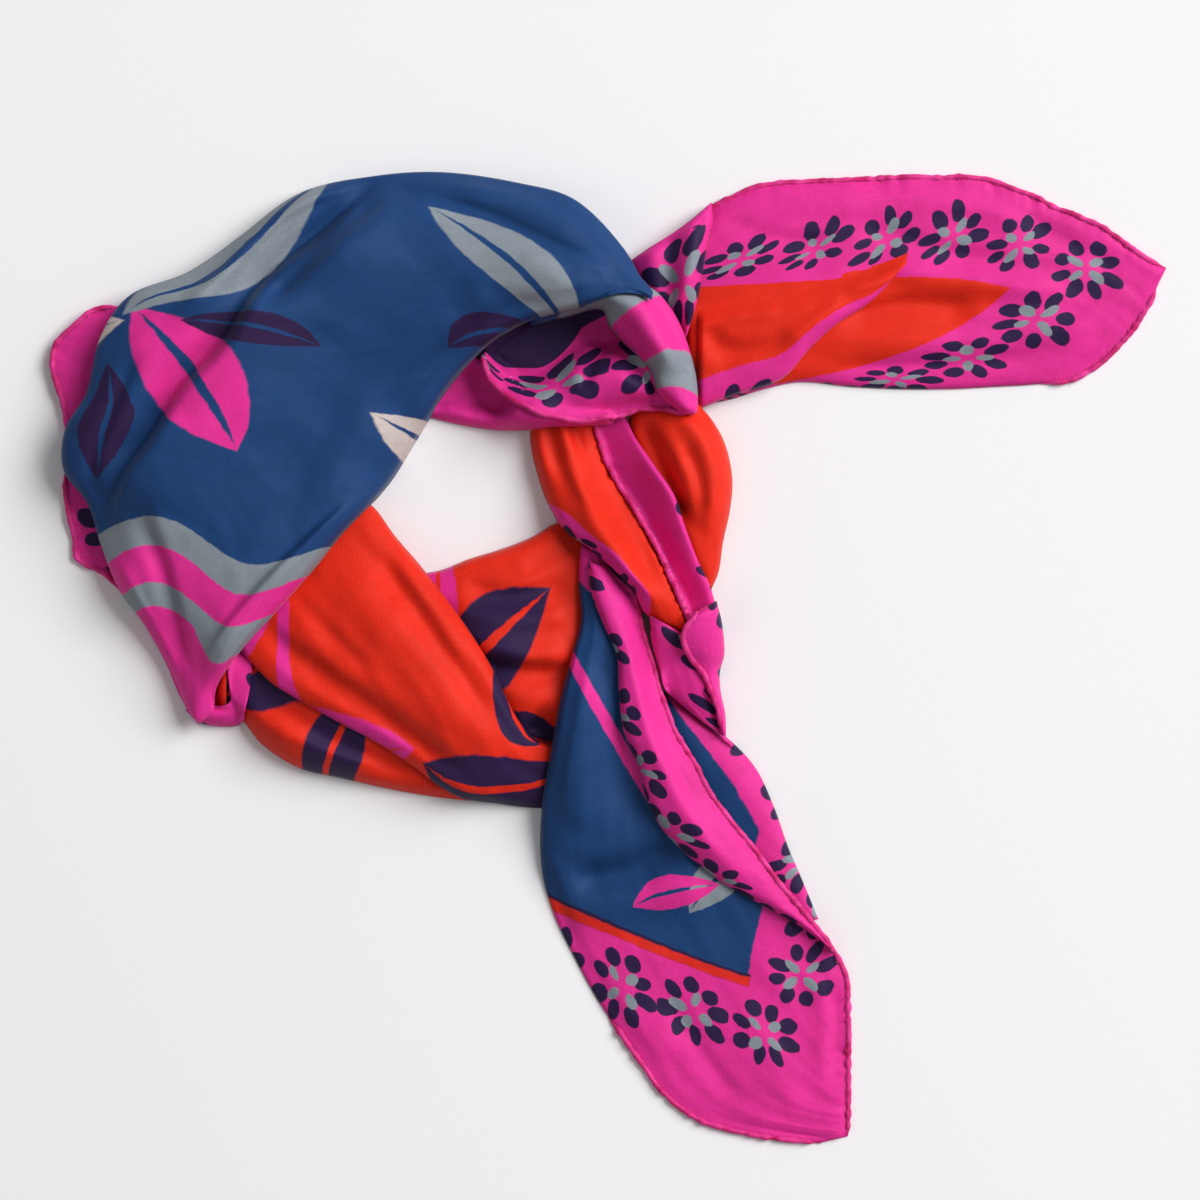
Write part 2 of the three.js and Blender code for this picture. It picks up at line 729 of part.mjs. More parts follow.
// The origin is the middle of the underside of the whole scarf.
const box = new THREE.Box3().setFromObject(scarf);
const middle = box.getCenter(new THREE.Vector3());
for (const mesh of scarf.children) {
  mesh.geometry.translate(-middle.x, -middle.y, -box.min.z);
}

export default scarf;
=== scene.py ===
# A silk square scarf, 900 mm square, printed in blue, orange, pink, aubergine and grey, with a rolled hem.
# It is folded on the bias into a band, laid in a ring and tied in one loose half knot, and it lies flat on
# a surface with both pointed corners free. The sections follow the order in which the cloth is laid down.
import math

import bpy
import numpy as np
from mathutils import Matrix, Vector, noise
from mathutils.bvhtree import BVHTree


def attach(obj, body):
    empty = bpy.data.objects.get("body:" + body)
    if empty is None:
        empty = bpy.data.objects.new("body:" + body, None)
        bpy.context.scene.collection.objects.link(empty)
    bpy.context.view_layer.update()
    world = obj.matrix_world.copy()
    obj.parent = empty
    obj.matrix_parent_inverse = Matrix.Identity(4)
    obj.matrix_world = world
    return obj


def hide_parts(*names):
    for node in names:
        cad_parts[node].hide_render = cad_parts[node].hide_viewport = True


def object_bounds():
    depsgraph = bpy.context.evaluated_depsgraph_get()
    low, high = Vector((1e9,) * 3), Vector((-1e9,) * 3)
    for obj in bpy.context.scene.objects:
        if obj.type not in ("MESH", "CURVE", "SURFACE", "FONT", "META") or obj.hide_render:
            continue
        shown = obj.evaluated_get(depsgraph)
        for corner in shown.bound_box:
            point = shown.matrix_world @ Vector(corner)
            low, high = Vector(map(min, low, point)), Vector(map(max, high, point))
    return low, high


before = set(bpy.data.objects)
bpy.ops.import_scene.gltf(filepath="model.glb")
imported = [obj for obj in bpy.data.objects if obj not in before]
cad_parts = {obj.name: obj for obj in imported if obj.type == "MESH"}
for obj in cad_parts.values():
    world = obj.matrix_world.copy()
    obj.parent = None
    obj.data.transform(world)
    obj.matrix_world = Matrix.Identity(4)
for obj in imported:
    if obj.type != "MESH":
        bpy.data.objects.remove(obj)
cad_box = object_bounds()

# ---- Camera, floor and light --------------------------------------------------------------------------
# The scarf is seen from straight above, on a plain pale table. One large soft light stands to its right
# and a little towards its top, so the soft shadows fall to the left. A weak one fills them from there.

mm = 0.001

scene = bpy.context.scene
scene.view_settings.view_transform = "Standard"

lens = 120
film = 36
view_width = 516 * mm
view_middle = (-3.9 * mm, 23.9 * mm)

camera_data = bpy.data.cameras.new("view_from_above")
camera_data.lens = lens
camera_data.sensor_width = film
camera = bpy.data.objects.new("view_from_above", camera_data)
camera.location = (*view_middle, view_width * lens / film)
scene.collection.objects.link(camera)
scene.camera = camera


def tint(red, green, blue):
    """A colour given in display values from 0 to 255, as the linear values that shaders take."""
    shares = [value / 255 for value in (red, green, blue)]
    return (*[c / 12.92 if c <= 0.04045 else ((c + 0.055) / 1.055) ** 2.4 for c in shares], 1.0)


table_half = 4.0
table_corners = [(-1, -1), (1, -1), (1, 1), (-1, 1)]
table_mesh = bpy.data.meshes.new("table")
table_mesh.from_pydata(
    [(x * table_half, y * table_half, cad_box[0].z) for x, y in table_corners], [], [(0, 1, 2, 3)])
table_top = bpy.data.objects.new("table", table_mesh)
scene.collection.objects.link(table_top)
table_paint = bpy.data.materials.new("table_paint")
table_paint.use_nodes = True
table_shader = table_paint.node_tree.nodes["Principled BSDF"]
table_shader.inputs["Base Color"].default_value = tint(232, 231, 233)
table_shader.inputs["Roughness"].default_value = 0.9
table_mesh.materials.append(table_paint)


def soft_light(name, place, size, power):
    """A square soft box that points at the scarf."""
    data = bpy.data.lights.new(name, "AREA")
    data.size = size
    data.energy = power
    light = bpy.data.objects.new(name, data)
    light.location = place
    light.rotation_euler = (-Vector(place)).to_track_quat("-Z", "Y").to_euler()
    scene.collection.objects.link(light)


soft_light("key_light", (4.1, 2.4, 3.9), 3.9, 520)
soft_light("fill_light", (-2.4, -1.2, 3.2), 2.4, 12)

world = bpy.data.worlds.new("studio")
world.use_nodes = True
world.node_tree.nodes["Background"].inputs["Color"].default_value = (1, 1, 1, 1)
world.node_tree.nodes["Background"].inputs["Strength"].default_value = 0.26
scene.world = world

# ---- The printed silk ---------------------------------------------------------------------------------
# The whole scarf is one square of light silk, printed on one side. Its print runs over the whole square:
# a pink border with a row of daisies on every side, a thin red line along one side, and a field that is
# half blue and half orange, with sprays of leaves. Cloth coordinates are metres from one corner.

cut_side = 900 * mm
border_wide = 63 * mm          # the border beside the red line
border_narrow = 46 * mm        # the border on the other three sides

ink = {
    "pink": tint(212, 42, 136),
    "aubergine": tint(40, 22, 62),
    "grey": tint(124, 132, 140),
    "cream": tint(186, 174, 170),
    "blue": tint(22, 58, 106),
    "orange": tint(211, 38, 17),
    "red": tint(208, 38, 26),
}


def feed(socket, value):
    """Links an input to another node's output, or sets its value."""
    if isinstance(value, bpy.types.NodeSocket):
        socket.id_data.links.new(value, socket)
    elif value is not None:
        socket.default_value = value


def tree_of(values):
    """The node tree of the first output among the values."""
    return next(value.id_data for value in values if isinstance(value, bpy.types.NodeSocket))


def add(kind, *values, **settings):
    """Adds a shader node, sets or links its inputs in order, and gives its first output."""
    node = tree_of(values).nodes.new("ShaderNode" + kind)
    for key, value in settings.items():
        setattr(node, key, value)
    for socket, value in zip(node.inputs, values):
        feed(socket, value)
    return node.outputs[0]


def calc(operation, *values):
    return add("Math", *values, operation=operation)


def plus(first, second):
    return calc("ADD", first, second)


def minus(first, second):
    return calc("SUBTRACT", first, second)


def times(first, second):
    return calc("MULTIPLY", first, second)


def over(first, second):
    return calc("DIVIDE", first, second)


def vector_calc(operation, *values):
    return add("VectorMath", *values, operation=operation)


def turned_by(place, angle):
    """A place turned about the upright axis."""
    return add("VectorRotate", place, None, None, angle, rotation_type="Z_AXIS")


def cloudy(place, scale, detail):
    """A noise texture at a place, as a node."""
    node = add("TexNoise", place).node
    node.inputs["Scale"].default_value = scale
    node.inputs["Detail"].default_value = detail
    return node


def paint(share, under, cover):
    """Lays one colour over another where share is 1."""
    node = tree_of((share, under, cover)).nodes.new("ShaderNodeMix")
    node.data_type = "RGBA"
    for index, value in ((0, share), (6, under), (7, cover)):
        feed(node.inputs[index], value)
    return node.outputs[2]


def step_up(value, edge, blur=0.4 * mm):
    """0 below the edge and 1 above it, with a slightly bled edge."""
    node = tree_of([value]).nodes.new("ShaderNodeMapRange")
    node.clamp = True
    feed(node.inputs["Value"], value)
    node.inputs["From Min"].default_value = edge - blur
    node.inputs["From Max"].default_value = edge + blur
    return node.outputs[0]


def step_down(value, edge):
    return minus(1.0, step_up(value, edge))


def new_group(name, inputs, outputs):
    """An empty shader group with named sockets, and its input and output nodes."""
    tree = bpy.data.node_groups.new(name, "ShaderNodeTree")
    for title, kind, value in inputs:
        socket = tree.interface.new_socket(title, in_out="INPUT", socket_type="NodeSocket" + kind)
        socket.default_value = value
    for title, kind in outputs:
        tree.interface.new_socket(title, in_out="OUTPUT", socket_type="NodeSocket" + kind)
    return tree, tree.nodes.new("NodeGroupInput"), tree.nodes.new("NodeGroupOutput")


def place_group(group, *values):
    """Adds a group node, with its inputs in order, and gives the node."""
    node = tree_of(values).nodes.new("ShaderNodeGroup")
    node.node_tree = group
    for socket, value in zip(node.inputs, values):
        feed(socket, value)
    return node


def build_petal_ring():
    """A ring of petals round a flower's centre, each of its own size, as a mask."""
    tree, given, result = new_group("Petal ring", [
        ("Place", "Vector", (0, 0, 0)), ("Seed", "Float", 0), ("Count", "Float", 8),
        ("Radius", "Float", 11 * mm), ("Length", "Float", 4 * mm), ("Width", "Float", 3 * mm),
        ("Turn", "Float", 0)], [("Mask", "Float")])
    place, seed, count, radius, length, width, turn = given.outputs[:7]
    x, y = add("SeparateXYZ", place).node.outputs[:2]
    sector = times(plus(calc("ARCTAN2", y, x), turn), over(count, 2 * math.pi))
    petal = calc("FLOOR", calc("WRAP", sector, count, 0.0))
    chance_place = add("CombineXYZ", petal, seed, 0.5)
    chance = add("TexWhiteNoise", chance_place)
    other = add("TexWhiteNoise", vector_calc("ADD", chance_place, (3.1, 7.7, 1.3)))

    def varied(size, draw, least, spread):
        """A petal's own share of a size, by a random draw."""
        return times(size, plus(least, times(draw, spread)))

    sway = 0.22                  # how far a petal stands off its even place, as a share of it
    swing = plus(minus(calc("FRACT", sector), 0.5), times(minus(other, 0.5), sway))
    bend = times(swing, over(2 * math.pi, count))
    reach = calc("SQRT", plus(times(x, x), times(y, y)))
    out = minus(times(reach, calc("COSINE", bend)), varied(radius, chance, 0.92, 0.18))
    aside = times(reach, calc("SINE", bend))
    long_part = calc("POWER", calc("ABSOLUTE", over(out, varied(length, other, 0.78, 0.4))), 2.0)
    wide_part = calc("POWER", calc("ABSOLUTE", over(aside, varied(width, chance, 0.8, 0.4))), 2.0)
    petal_bleed = 0.12
    feed(result.inputs["Mask"], step_up(minus(1.0, plus(long_part, wide_part)), 0.0, petal_bleed))
    return tree


def build_leaf():
    """One pointed leaf as a mask. Turn is in radians, and Length and Width are half sizes."""
    tree, given, result = new_group("Leaf", [
        ("Place", "Vector", (0, 0, 0)), ("Centre", "Vector", (0, 0, 0)), ("Turn", "Float", 0),
        ("Length", "Float", 30 * mm), ("Width", "Float", 10 * mm)], [("Mask", "Float"), ("Vein", "Float")])
    place, centre, turn, length, width = given.outputs[:5]
    x, y = add("SeparateXYZ", turned_by(vector_calc("SUBTRACT", place, centre), turn)).node.outputs[:2]
    run = over(x, length)
    bow = 0.35                   # how far the leaf's ends bend aside, as a share of its half width
    side = plus(over(y, width), times(times(run, run), bow))
    half = minus(1.0, times(run, run))
    off_middle = calc("ABSOLUTE", side)
    leaf_bleed = 0.035
    feed(result.inputs["Mask"], step_up(minus(half, off_middle), 0.0, leaf_bleed))
    vein_half = 0.14
    vein_bleed = 0.02
    feed(result.inputs["Vein"], step_up(minus(times(half, vein_half), off_middle), vein_bleed, vein_bleed))
    return tree


petal_ring = build_petal_ring()
leaf = build_leaf()


def build_print_and_shade():
    """The colour of the print at a place on the square, with one dark leaf in it that is painted shade for
    the knot's mouth.
    """
    tree, given, result = new_group("Silk print", [("Cloth", "Vector", (0, 0, 0))], [("Colour", "Color")])
    bled = 1.5 * mm              # how far the inks wander at their edges
    shake = vector_calc("SUBTRACT", cloudy(given.outputs[0], 190, 1).outputs["Color"], (0.5, 0.5, 0.5))
    cloth = vector_calc("ADD", given.outputs[0], vector_calc("MULTIPLY", shake, (bled, bled, 0)))
    u, v = add("SeparateXYZ", cloth).node.outputs[:2]
    side = calc("MINIMUM", u, minus(cut_side, u))
    top = minus(cut_side, v)

    def inside(from_v, from_sides):
        """1 where the cloth lies further in than these distances, on the wide side and on the others."""
        return times(step_up(v, from_v), times(step_up(top, from_sides), step_up(side, from_sides)))

    def row(value, first, pitch):
        """The distance from the nearest flower of a row, and the flower's number."""
        place = over(minus(value, first - pitch / 2), pitch)
        return times(minus(calc("FRACT", place), 0.5), pitch), calc("FLOOR", place)

    # rows of daisies: along the wide border, up both sides, and along the far side
    wide_row = 42 * mm           # the row's middle from the edge, on the wide border
    narrow_row = 24 * mm         # and on the other three
    wide_first = 37 * mm
    wide_pitch = 32 * mm
    side_pitches = 27
    far_pitches = 26
    wide_reach = 58 * mm         # as far in as the flowers of the wide row come
    far_reach = 39.7 * mm        # and those of the far row
    wide_off, wide_number = row(u, wide_first, wide_pitch)
    side_off, side_number = row(v, wide_row, (cut_side - wide_row - narrow_row) / side_pitches)
    far_off, far_number = row(u, narrow_row, (cut_side - 2 * narrow_row) / far_pitches)
    wide_place = add("CombineXYZ", wide_off, minus(v, wide_row), 0.0)
    side_place = add("CombineXYZ", minus(side, narrow_row), side_off, 0.0)
    far_place = add("CombineXYZ", far_off, minus(top, narrow_row), 0.0)
    in_wide = calc("LESS_THAN", v, wide_reach)
    in_far = calc("LESS_THAN", top, far_reach)

    def pick(share, low, high):
        """The first place where share is 0, and the second where it is 1."""
        kept = vector_calc("MULTIPLY", low, minus(1.0, share))
        return vector_calc("MULTIPLY_ADD", high, share, kept)

    flower = pick(in_wide, pick(in_far, side_place, far_place), wide_place)
    rows_apart = 57              # keeps the wide row's flower numbers off those of the others
    number = plus(times(in_wide, plus(wide_number, rows_apart)),
                  times(minus(1.0, in_wide), plus(side_number, times(in_far, far_number))))
    most_turn = 0.7
    turn = times(add("TexWhiteNoise", add("CombineXYZ", number, 4.0, 0.0)), most_turn)
    # count, then the ring's radius and a petal's half length and half width
    petals = place_group(petal_ring, flower, number, 8.0, 11.0 * mm, 4.6 * mm, 3.2 * mm, turn).outputs[0]
    hearts = place_group(petal_ring, flower, number, 4.0, 5.9 * mm, 3.6 * mm, 2.1 * mm, turn).outputs[0]

    # the field: blue, a wavy grey and pink divide, then orange
    slant = times(plus(u, v), math.sqrt(0.5))
    across = times(minus(u, v), math.sqrt(0.5))
    waves = 62                   # radians along each metre of the divide
    wave_height = 9 * mm
    slant = plus(slant, times(calc("SINE", times(across, waves)), wave_height))
    blue_end = 568
    orange_start = 636
    colour = ink["blue"]
    for edge, name in (
            (blue_end, "grey"), (582, "pink"), (598, "grey"), (610, "pink"), (orange_start, "orange"),
            (706, "pink"), (713, "orange")):
        colour = paint(step_up(slant, edge * mm), colour, ink[name])

    # a pink stripe in the blue corner
    stripe_aside = 27 * mm
    stripe_half = 3.4 * mm
    stripe_ends = (158 * mm, 256 * mm)
    aside = calc("ABSOLUTE", plus(across, stripe_aside))
    near_corner = minus(step_up(slant, stripe_ends[0]), step_up(slant, stripe_ends[1]))
    colour = paint(times(step_down(aside, stripe_half), near_corner), colour, ink["pink"])

    # sprays of leaves, turned this way and that, one to each cell of a brick pattern
    cell = 186 * mm
    level = over(v, cell)
    level_number = calc("FLOOR", level)
    place = plus(over(u, cell), times(calc("MODULO", level_number, 2.0), 0.5))
    spray = add("CombineXYZ", times(minus(calc("FRACT", place), 0.5), cell),
                times(minus(calc("FRACT", level), 0.5), cell), 0.0)
    chance = add("TexWhiteNoise", add("CombineXYZ", calc("FLOOR", place), level_number, 0.0))
    turned = turned_by(spray, times(chance, 2 * math.pi))
    spray_margin = 150 * mm
    in_middle = inside(spray_margin, spray_margin)
    warm = times(step_up(slant, orange_start * mm), in_middle)
    cool = times(step_down(slant, blue_end * mm), in_middle)

    def leaf_at(place, x, y, degrees, length, width):
        """A leaf's mask and its vein's, with its middle and half sizes in mm."""
        node = place_group(
            leaf, place, (x * mm, y * mm, 0), math.radians(degrees), length * mm, width * mm)
        return node.outputs[:2]

    # columns: centre x, centre y, turn in degrees, half length, half width, ink on blue, ink on orange
    for *form, on_blue, on_orange in (
            (-2, 44, -80, 46, 19, "pink", "aubergine"),
            (-44, -15, -24, 47, 18, "grey", "pink"),
            (44, -20, -160, 46, 17, "cream", "aubergine"),
            (-36, 38, -128, 30, 11, "aubergine", "pink"),
            (38, 34, -42, 30, 11, "aubergine", "aubergine"),
            (2, -52, -96, 34, 13, "aubergine", "pink")):
        shape = minus(*leaf_at(turned, *form))
        colour = paint(times(shape, cool), colour, ink[on_blue])
        colour = paint(times(shape, warm), colour, ink[on_orange])

    # a pair of leaves in the blue corner, and a broad dark one without a vein beside the border, which is
    # painted shade: it lies in the knot's mouth and stands in for the shade in its hollow
    for *form, name in ((66, 112, 62, 25, 9, "grey"), (84, 96, 40, 22, 8, "pink")):
        colour = paint(minus(*leaf_at(cloth, *form)), colour, ink[name])
    colour = paint(leaf_at(cloth, 98, 616, 90, 66, 58)[0], colour, ink["aubergine"])

    # the border over it, then its daisies and the red line
    bare_corner = 21 * mm        # the wide row leaves this much of its ends bare
    bare_edge = 8 * mm
    in_border = minus(1.0, inside(border_wide, border_narrow))
    bare = times(in_wide, calc("LESS_THAN", side, bare_corner))
    in_row = times(times(in_border, minus(1.0, bare)), calc("GREATER_THAN", side, bare_edge))
    colour = paint(in_border, colour, ink["pink"])
    colour = paint(times(petals, in_row), colour, ink["aubergine"])
    colour = paint(times(hearts, in_row), colour, ink["grey"])
    overlap = 1 * mm             # the two lines are printed a little over the border's edge
    beyond = times(step_up(side, border_narrow - overlap), step_up(v, border_wide - overlap))
    for width, name in ((5.0 * mm, "aubergine"), (3.4 * mm, "red")):
        colour = paint(times(beyond, step_down(v, border_wide + width)), colour, ink[name])
    feed(result.inputs["Colour"], colour)
    return tree


def build_weave():
    """Height and tone of a fine plain weave with slightly uneven threads, in cloth coordinates."""
    tree, given, result = new_group(
        "Silk weave", [("Cloth", "Vector", (0, 0, 0))], [("Height", "Float"), ("Tone", "Float")])
    fine = 1500                  # across the threads, per metre
    slow = 160                   # along them
    warp, weft = [
        cloudy(vector_calc("MULTIPLY", given.outputs[0], scale), 1, 2).outputs[0]
        for scale in ((fine, slow, 1), (slow, fine, 1))]
    height = plus(warp, weft)
    cloud = cloudy(given.outputs[0], 45, 3).outputs[0]
    thread_share = 0.30
    cloud_share = 0.34
    darkest = 0.53
    tone = plus(times(height, thread_share), times(cloud, cloud_share))
    feed(result.inputs["Height"], height)
    feed(result.inputs["Tone"], plus(tone, darkest))
    return tree


silk_print_and_shade = build_print_and_shade()
silk_weave = build_weave()


def silk_finish(material, colour_of):
    """Weave, soft sheen and paler reverse, shared by the printed silk and the rolled hem."""
    tree = material.node_tree
    shader = tree.nodes["Principled BSDF"]
    shader.inputs["Roughness"].default_value = 0.62
    shader.inputs["Specular IOR Level"].default_value = 0.16
    shader.inputs["Sheen Weight"].default_value = 0.06
    shader.inputs["Sheen Roughness"].default_value = 0.35
    cloth = tree.nodes.new("ShaderNodeUVMap")
    cloth.uv_map = "cloth"
    weave = place_group(silk_weave, cloth.outputs[0])
    toned = vector_calc("MULTIPLY", colour_of(cloth.outputs[0]), weave.outputs["Tone"])
    paler = 0.3
    pale = paint(paler, toned, tint(214, 190, 205))
    backfacing = tree.nodes.new("ShaderNodeNewGeometry").outputs["Backfacing"]
    feed(shader.inputs["Base Color"], paint(backfacing, toned, pale))
    bump = tree.nodes.new("ShaderNodeBump")
    bump.inputs["Strength"].default_value = 0.5
    bump.inputs["Distance"].default_value = 0.16 * mm
    feed(bump.inputs["Height"], weave.outputs["Height"])
    feed(shader.inputs["Normal"], bump.outputs[0])


printed_silk = bpy.data.materials.new("printed_silk")
printed_silk.use_nodes = True
silk_finish(printed_silk, lambda cloth: place_group(silk_print_and_shade, cloth).outputs["Colour"])

# ---- The ring's lower side ----------------------------------------------------------------------------
# The band comes round the bottom of the ring as three rounded strands of orange silk, and turns under at
# the lower left in a narrow pink fold. Each strand is one tube of cloth whose edges meet underneath.

step = 1.7                   # spacing of the cloth's own mesh, in mm
clearance = 0.25             # between two layers that lie on each other, in mm
cloth_edge = 0.6             # half the thickness of a fold at its rim, in mm
turned_back = 0.49           # the share of its width that the cloth runs back under itself from each edge
datum = (0.0, -0.4)          # the middle of the scarf's floor space, in mm from where the rows are measured

pile_half = 275
pile = np.zeros((2 * pile_half, 2 * pile_half))


def edge_curve(points, t):
    """Places at t, from 0 to 1, on a centripetal curve through the points."""
    p = np.array(points, float)
    p = np.vstack([2 * p[0] - p[1], p, 2 * p[-1] - p[-2]])
    place = t * (len(points) - 1)
    k = np.minimum(place.astype(int), len(points) - 2)
    w = (place - k)[:, None]
    near = [p[k + i] for i in range(4)]
    d0, d1, d2 = [
        np.maximum(np.linalg.norm(near[i + 1] - near[i], axis=1), 1e-4)[:, None] ** 0.5 for i in range(3)]
    leave = ((near[1] - near[0]) / d0 - (near[2] - near[0]) / (d0 + d1) + (near[2] - near[1]) / d1) * d1
    arrive = ((near[2] - near[1]) / d1 - (near[3] - near[1]) / (d1 + d2) + (near[3] - near[2]) / d2) * d1
    return ((2 * w**3 - 3 * w**2 + 1) * near[1] + (w**3 - 2 * w**2 + w) * leave
            + (3 * w**2 - 2 * w**3) * near[2] + (w**3 - w**2) * arrive)


def filled(values):
    """Fills the places that a ray missed from the nearest ones that it hit."""
    for grid in (values, values.T):
        for line in grid:
            good = np.flatnonzero(~np.isnan(line))
            if len(good):
                line[:] = np.interp(np.arange(len(line)), good, line[good])
    return values


def solid_heights(node, x, y):
    """The underside and the top of a solid of the frame, in mm, at places given in mm."""
    solid = BVHTree.FromObject(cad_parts[node], bpy.context.evaluated_depsgraph_get())
    foot = np.full(x.shape, np.nan)
    top = np.full(x.shape, np.nan)
    for index in np.ndindex(*x.shape):
        at = (x[index] * mm, y[index] * mm)
        low = solid.ray_cast(Vector((*at, -1)), Vector((0, 0, 1)))[0]
        high = solid.ray_cast(Vector((*at, 1)), Vector((0, 0, -1)))[0]
        if low is not None and high is not None:
            foot[index] = low.z / mm
            top[index] = high.z / mm
    return filled(foot), filled(top)


def evened(values, along, across):
    """Evens a grid of heights out along the cloth and across it."""
    for passes, axis in ((along, 0), (across, 1)):
        for _ in range(passes):
            spread = np.pad(values, [(1, 1) if i == axis else (0, 0) for i in range(2)], mode="edge")
            before = spread.take(range(0, values.shape[axis]), axis)
            after = spread.take(range(2, values.shape[axis] + 2), axis)
            values = 0.5 * values + 0.25 * (before + after)
    return values


def pile_cells(x, y):
    return tuple(np.clip((value + pile_half).astype(int), 0, 2 * pile_half - 1) for value in (y, x))


def pile_under(x, y):
    """The highest cloth that already lies within a cell of each place, in mm."""
    wide = pile.copy()
    for dx in (-1, 0, 1):
        for dy in (-1, 0, 1):
            wide = np.maximum(wide, np.roll(pile, (dy, dx), (0, 1)))
    return wide[pile_cells(x, y)]


def add_to_pile(x, y, z):
    """Records the top of a laid stretch, closely enough to leave no cell out."""
    fine = 4
    rows = np.linspace(0, x.shape[0] - 1, fine * x.shape[0])
    columns = np.linspace(0, x.shape[1] - 1, fine * x.shape[1])
    i = np.minimum(rows.astype(int), x.shape[0] - 2)
    j = np.minimum(columns.astype(int), x.shape[1] - 2)
    wi = (rows - i)[:, None]
    wj = (columns - j)[None, :]

    def between(g):
        upper = g[np.ix_(i, j)] * (1 - wj) + g[np.ix_(i, j + 1)] * wj
        lower = g[np.ix_(i + 1, j)] * (1 - wj) + g[np.ix_(i + 1, j + 1)] * wj
        return upper * (1 - wi) + lower * wi

    np.maximum.at(pile, pile_cells(between(x), between(y)), between(z))


def noise_at(a, b, seed):
    """Smooth noise from -1 to 1 at a grid of places."""
    a, b = np.broadcast_arrays(a, b)
    return np.array([
        [noise.noise(Vector((p, float(q), seed))) for p, q in zip(*line)] for line in zip(a, b)])


def fold_lift(x, y, folds):
    """How far the given folds raise or lower the cloth. Each has a height, its reach to the left and to
    the right of its line, and the points of the line, all in mm."""
    fading = 0.22                # the share of a fold's length over which each end fades out
    finer = 6                    # short pieces of the smooth line to each point given
    lift = np.zeros(x.shape)
    for height, left, right, points in folds:
        path = edge_curve(points, np.linspace(0, 1, finer * len(points)))
        runs = np.linalg.norm(np.diff(path, axis=0), axis=1)
        nearest = np.full(x.shape, 1e9)
        place = np.zeros(x.shape)
        spread = np.full(x.shape, float(left))
        for k, (p, q) in enumerate(zip(path[:-1], path[1:])):
            d = q - p
            w = np.clip(((x - p[0]) * d[0] + (y - p[1]) * d[1]) / (d @ d), 0, 1)
            gap = np.hypot(x - p[0] - w * d[0], y - p[1] - w * d[1])
            closer = gap < nearest
            on_right = (x - p[0]) * d[1] - (y - p[1]) * d[0] > 0
            nearest = np.where(closer, gap, nearest)
            place = np.where(closer, (runs[:k].sum() + w * runs[k]) / runs.sum(), place)
            spread = np.where(closer, np.where(on_right, right, left), spread)
        taper = np.clip(np.minimum(place, 1 - place) / fading, 0, 1)
        lift += height * np.exp(-(nearest / spread) ** 2) * taper * taper * (3 - 2 * taper)
    return lift


def print_by_run(rows, t, share):
    """Cloth coordinates in mm from rows of t, edge a (u, v) and edge b (u, v)."""
    rows = np.array(rows, float)
    ua, va, ub, vb = [np.interp(t, rows[:, 0], rows[:, k])[:, None] for k in (1, 2, 3, 4)]
    return ua + (ub - ua) * share, va + (vb - va) * share


def print_by_places(rows, x, y):
    """Cloth coordinates in mm, fitted to a few places: rows of x, y and the u and v that lie there."""
    rows = np.array(rows, float)

    scale = 100                  # keeps the powers near 1
    powers = 4                   # 0 to 3, so the fit is cubic

    def terms(x, y):
        x, y = x / scale, y / scale
        return np.stack([x**i * y**j for i in range(powers) for j in range(powers - i)], axis=-1)

    fit = np.linalg.lstsq(terms(rows[:, 0], rows[:, 1]), rows[:, 2:4], rcond=None)[0]
    found = terms(x, y) @ fit
    return found[..., 0], found[..., 1]


def cloth_object(name, points, cloth, material, closed_round=False):
    """A mesh from a grid of points in mm, with its cloth coordinates, faces pointing up."""
    count, across = points.shape[:2]
    i, k = np.meshgrid(np.arange(count - 1), np.arange(across if closed_round else across - 1), indexing="ij")
    after = (k + 1) % across
    faces = np.stack([i * across + k, (i + 1) * across + k, (i + 1) * across + after, i * across + after], -1)
    faces = faces.reshape(-1, 4)
    flat_points = points.reshape(-1, 3)
    corners = flat_points[faces]
    normals = np.cross(corners[:, 2] - corners[:, 0], corners[:, 3] - corners[:, 1])
    count_highest = max(4, len(faces) // 20)
    highest = np.argsort(corners[:, :, 2].mean(1))[-count_highest:]
    if normals[highest, 2].sum() < 0:
        faces = faces[:, ::-1]
    mesh = bpy.data.meshes.new(name)
    mesh.from_pydata((flat_points + (*datum, 0)) * mm, [], faces.tolist())
    layer = mesh.uv_layers.new(name="cloth")
    layer.data.foreach_set("uv", (cloth.reshape(-1, 2)[faces.reshape(-1)] * mm).ravel())
    mesh.shade_smooth()
    mesh.materials.append(material)
    piece = bpy.data.objects.new(name, mesh)
    scene.collection.objects.link(piece)
    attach(piece, "root")
    return piece, np.linalg.norm(normals, axis=1).sum() / 2


laid = {}


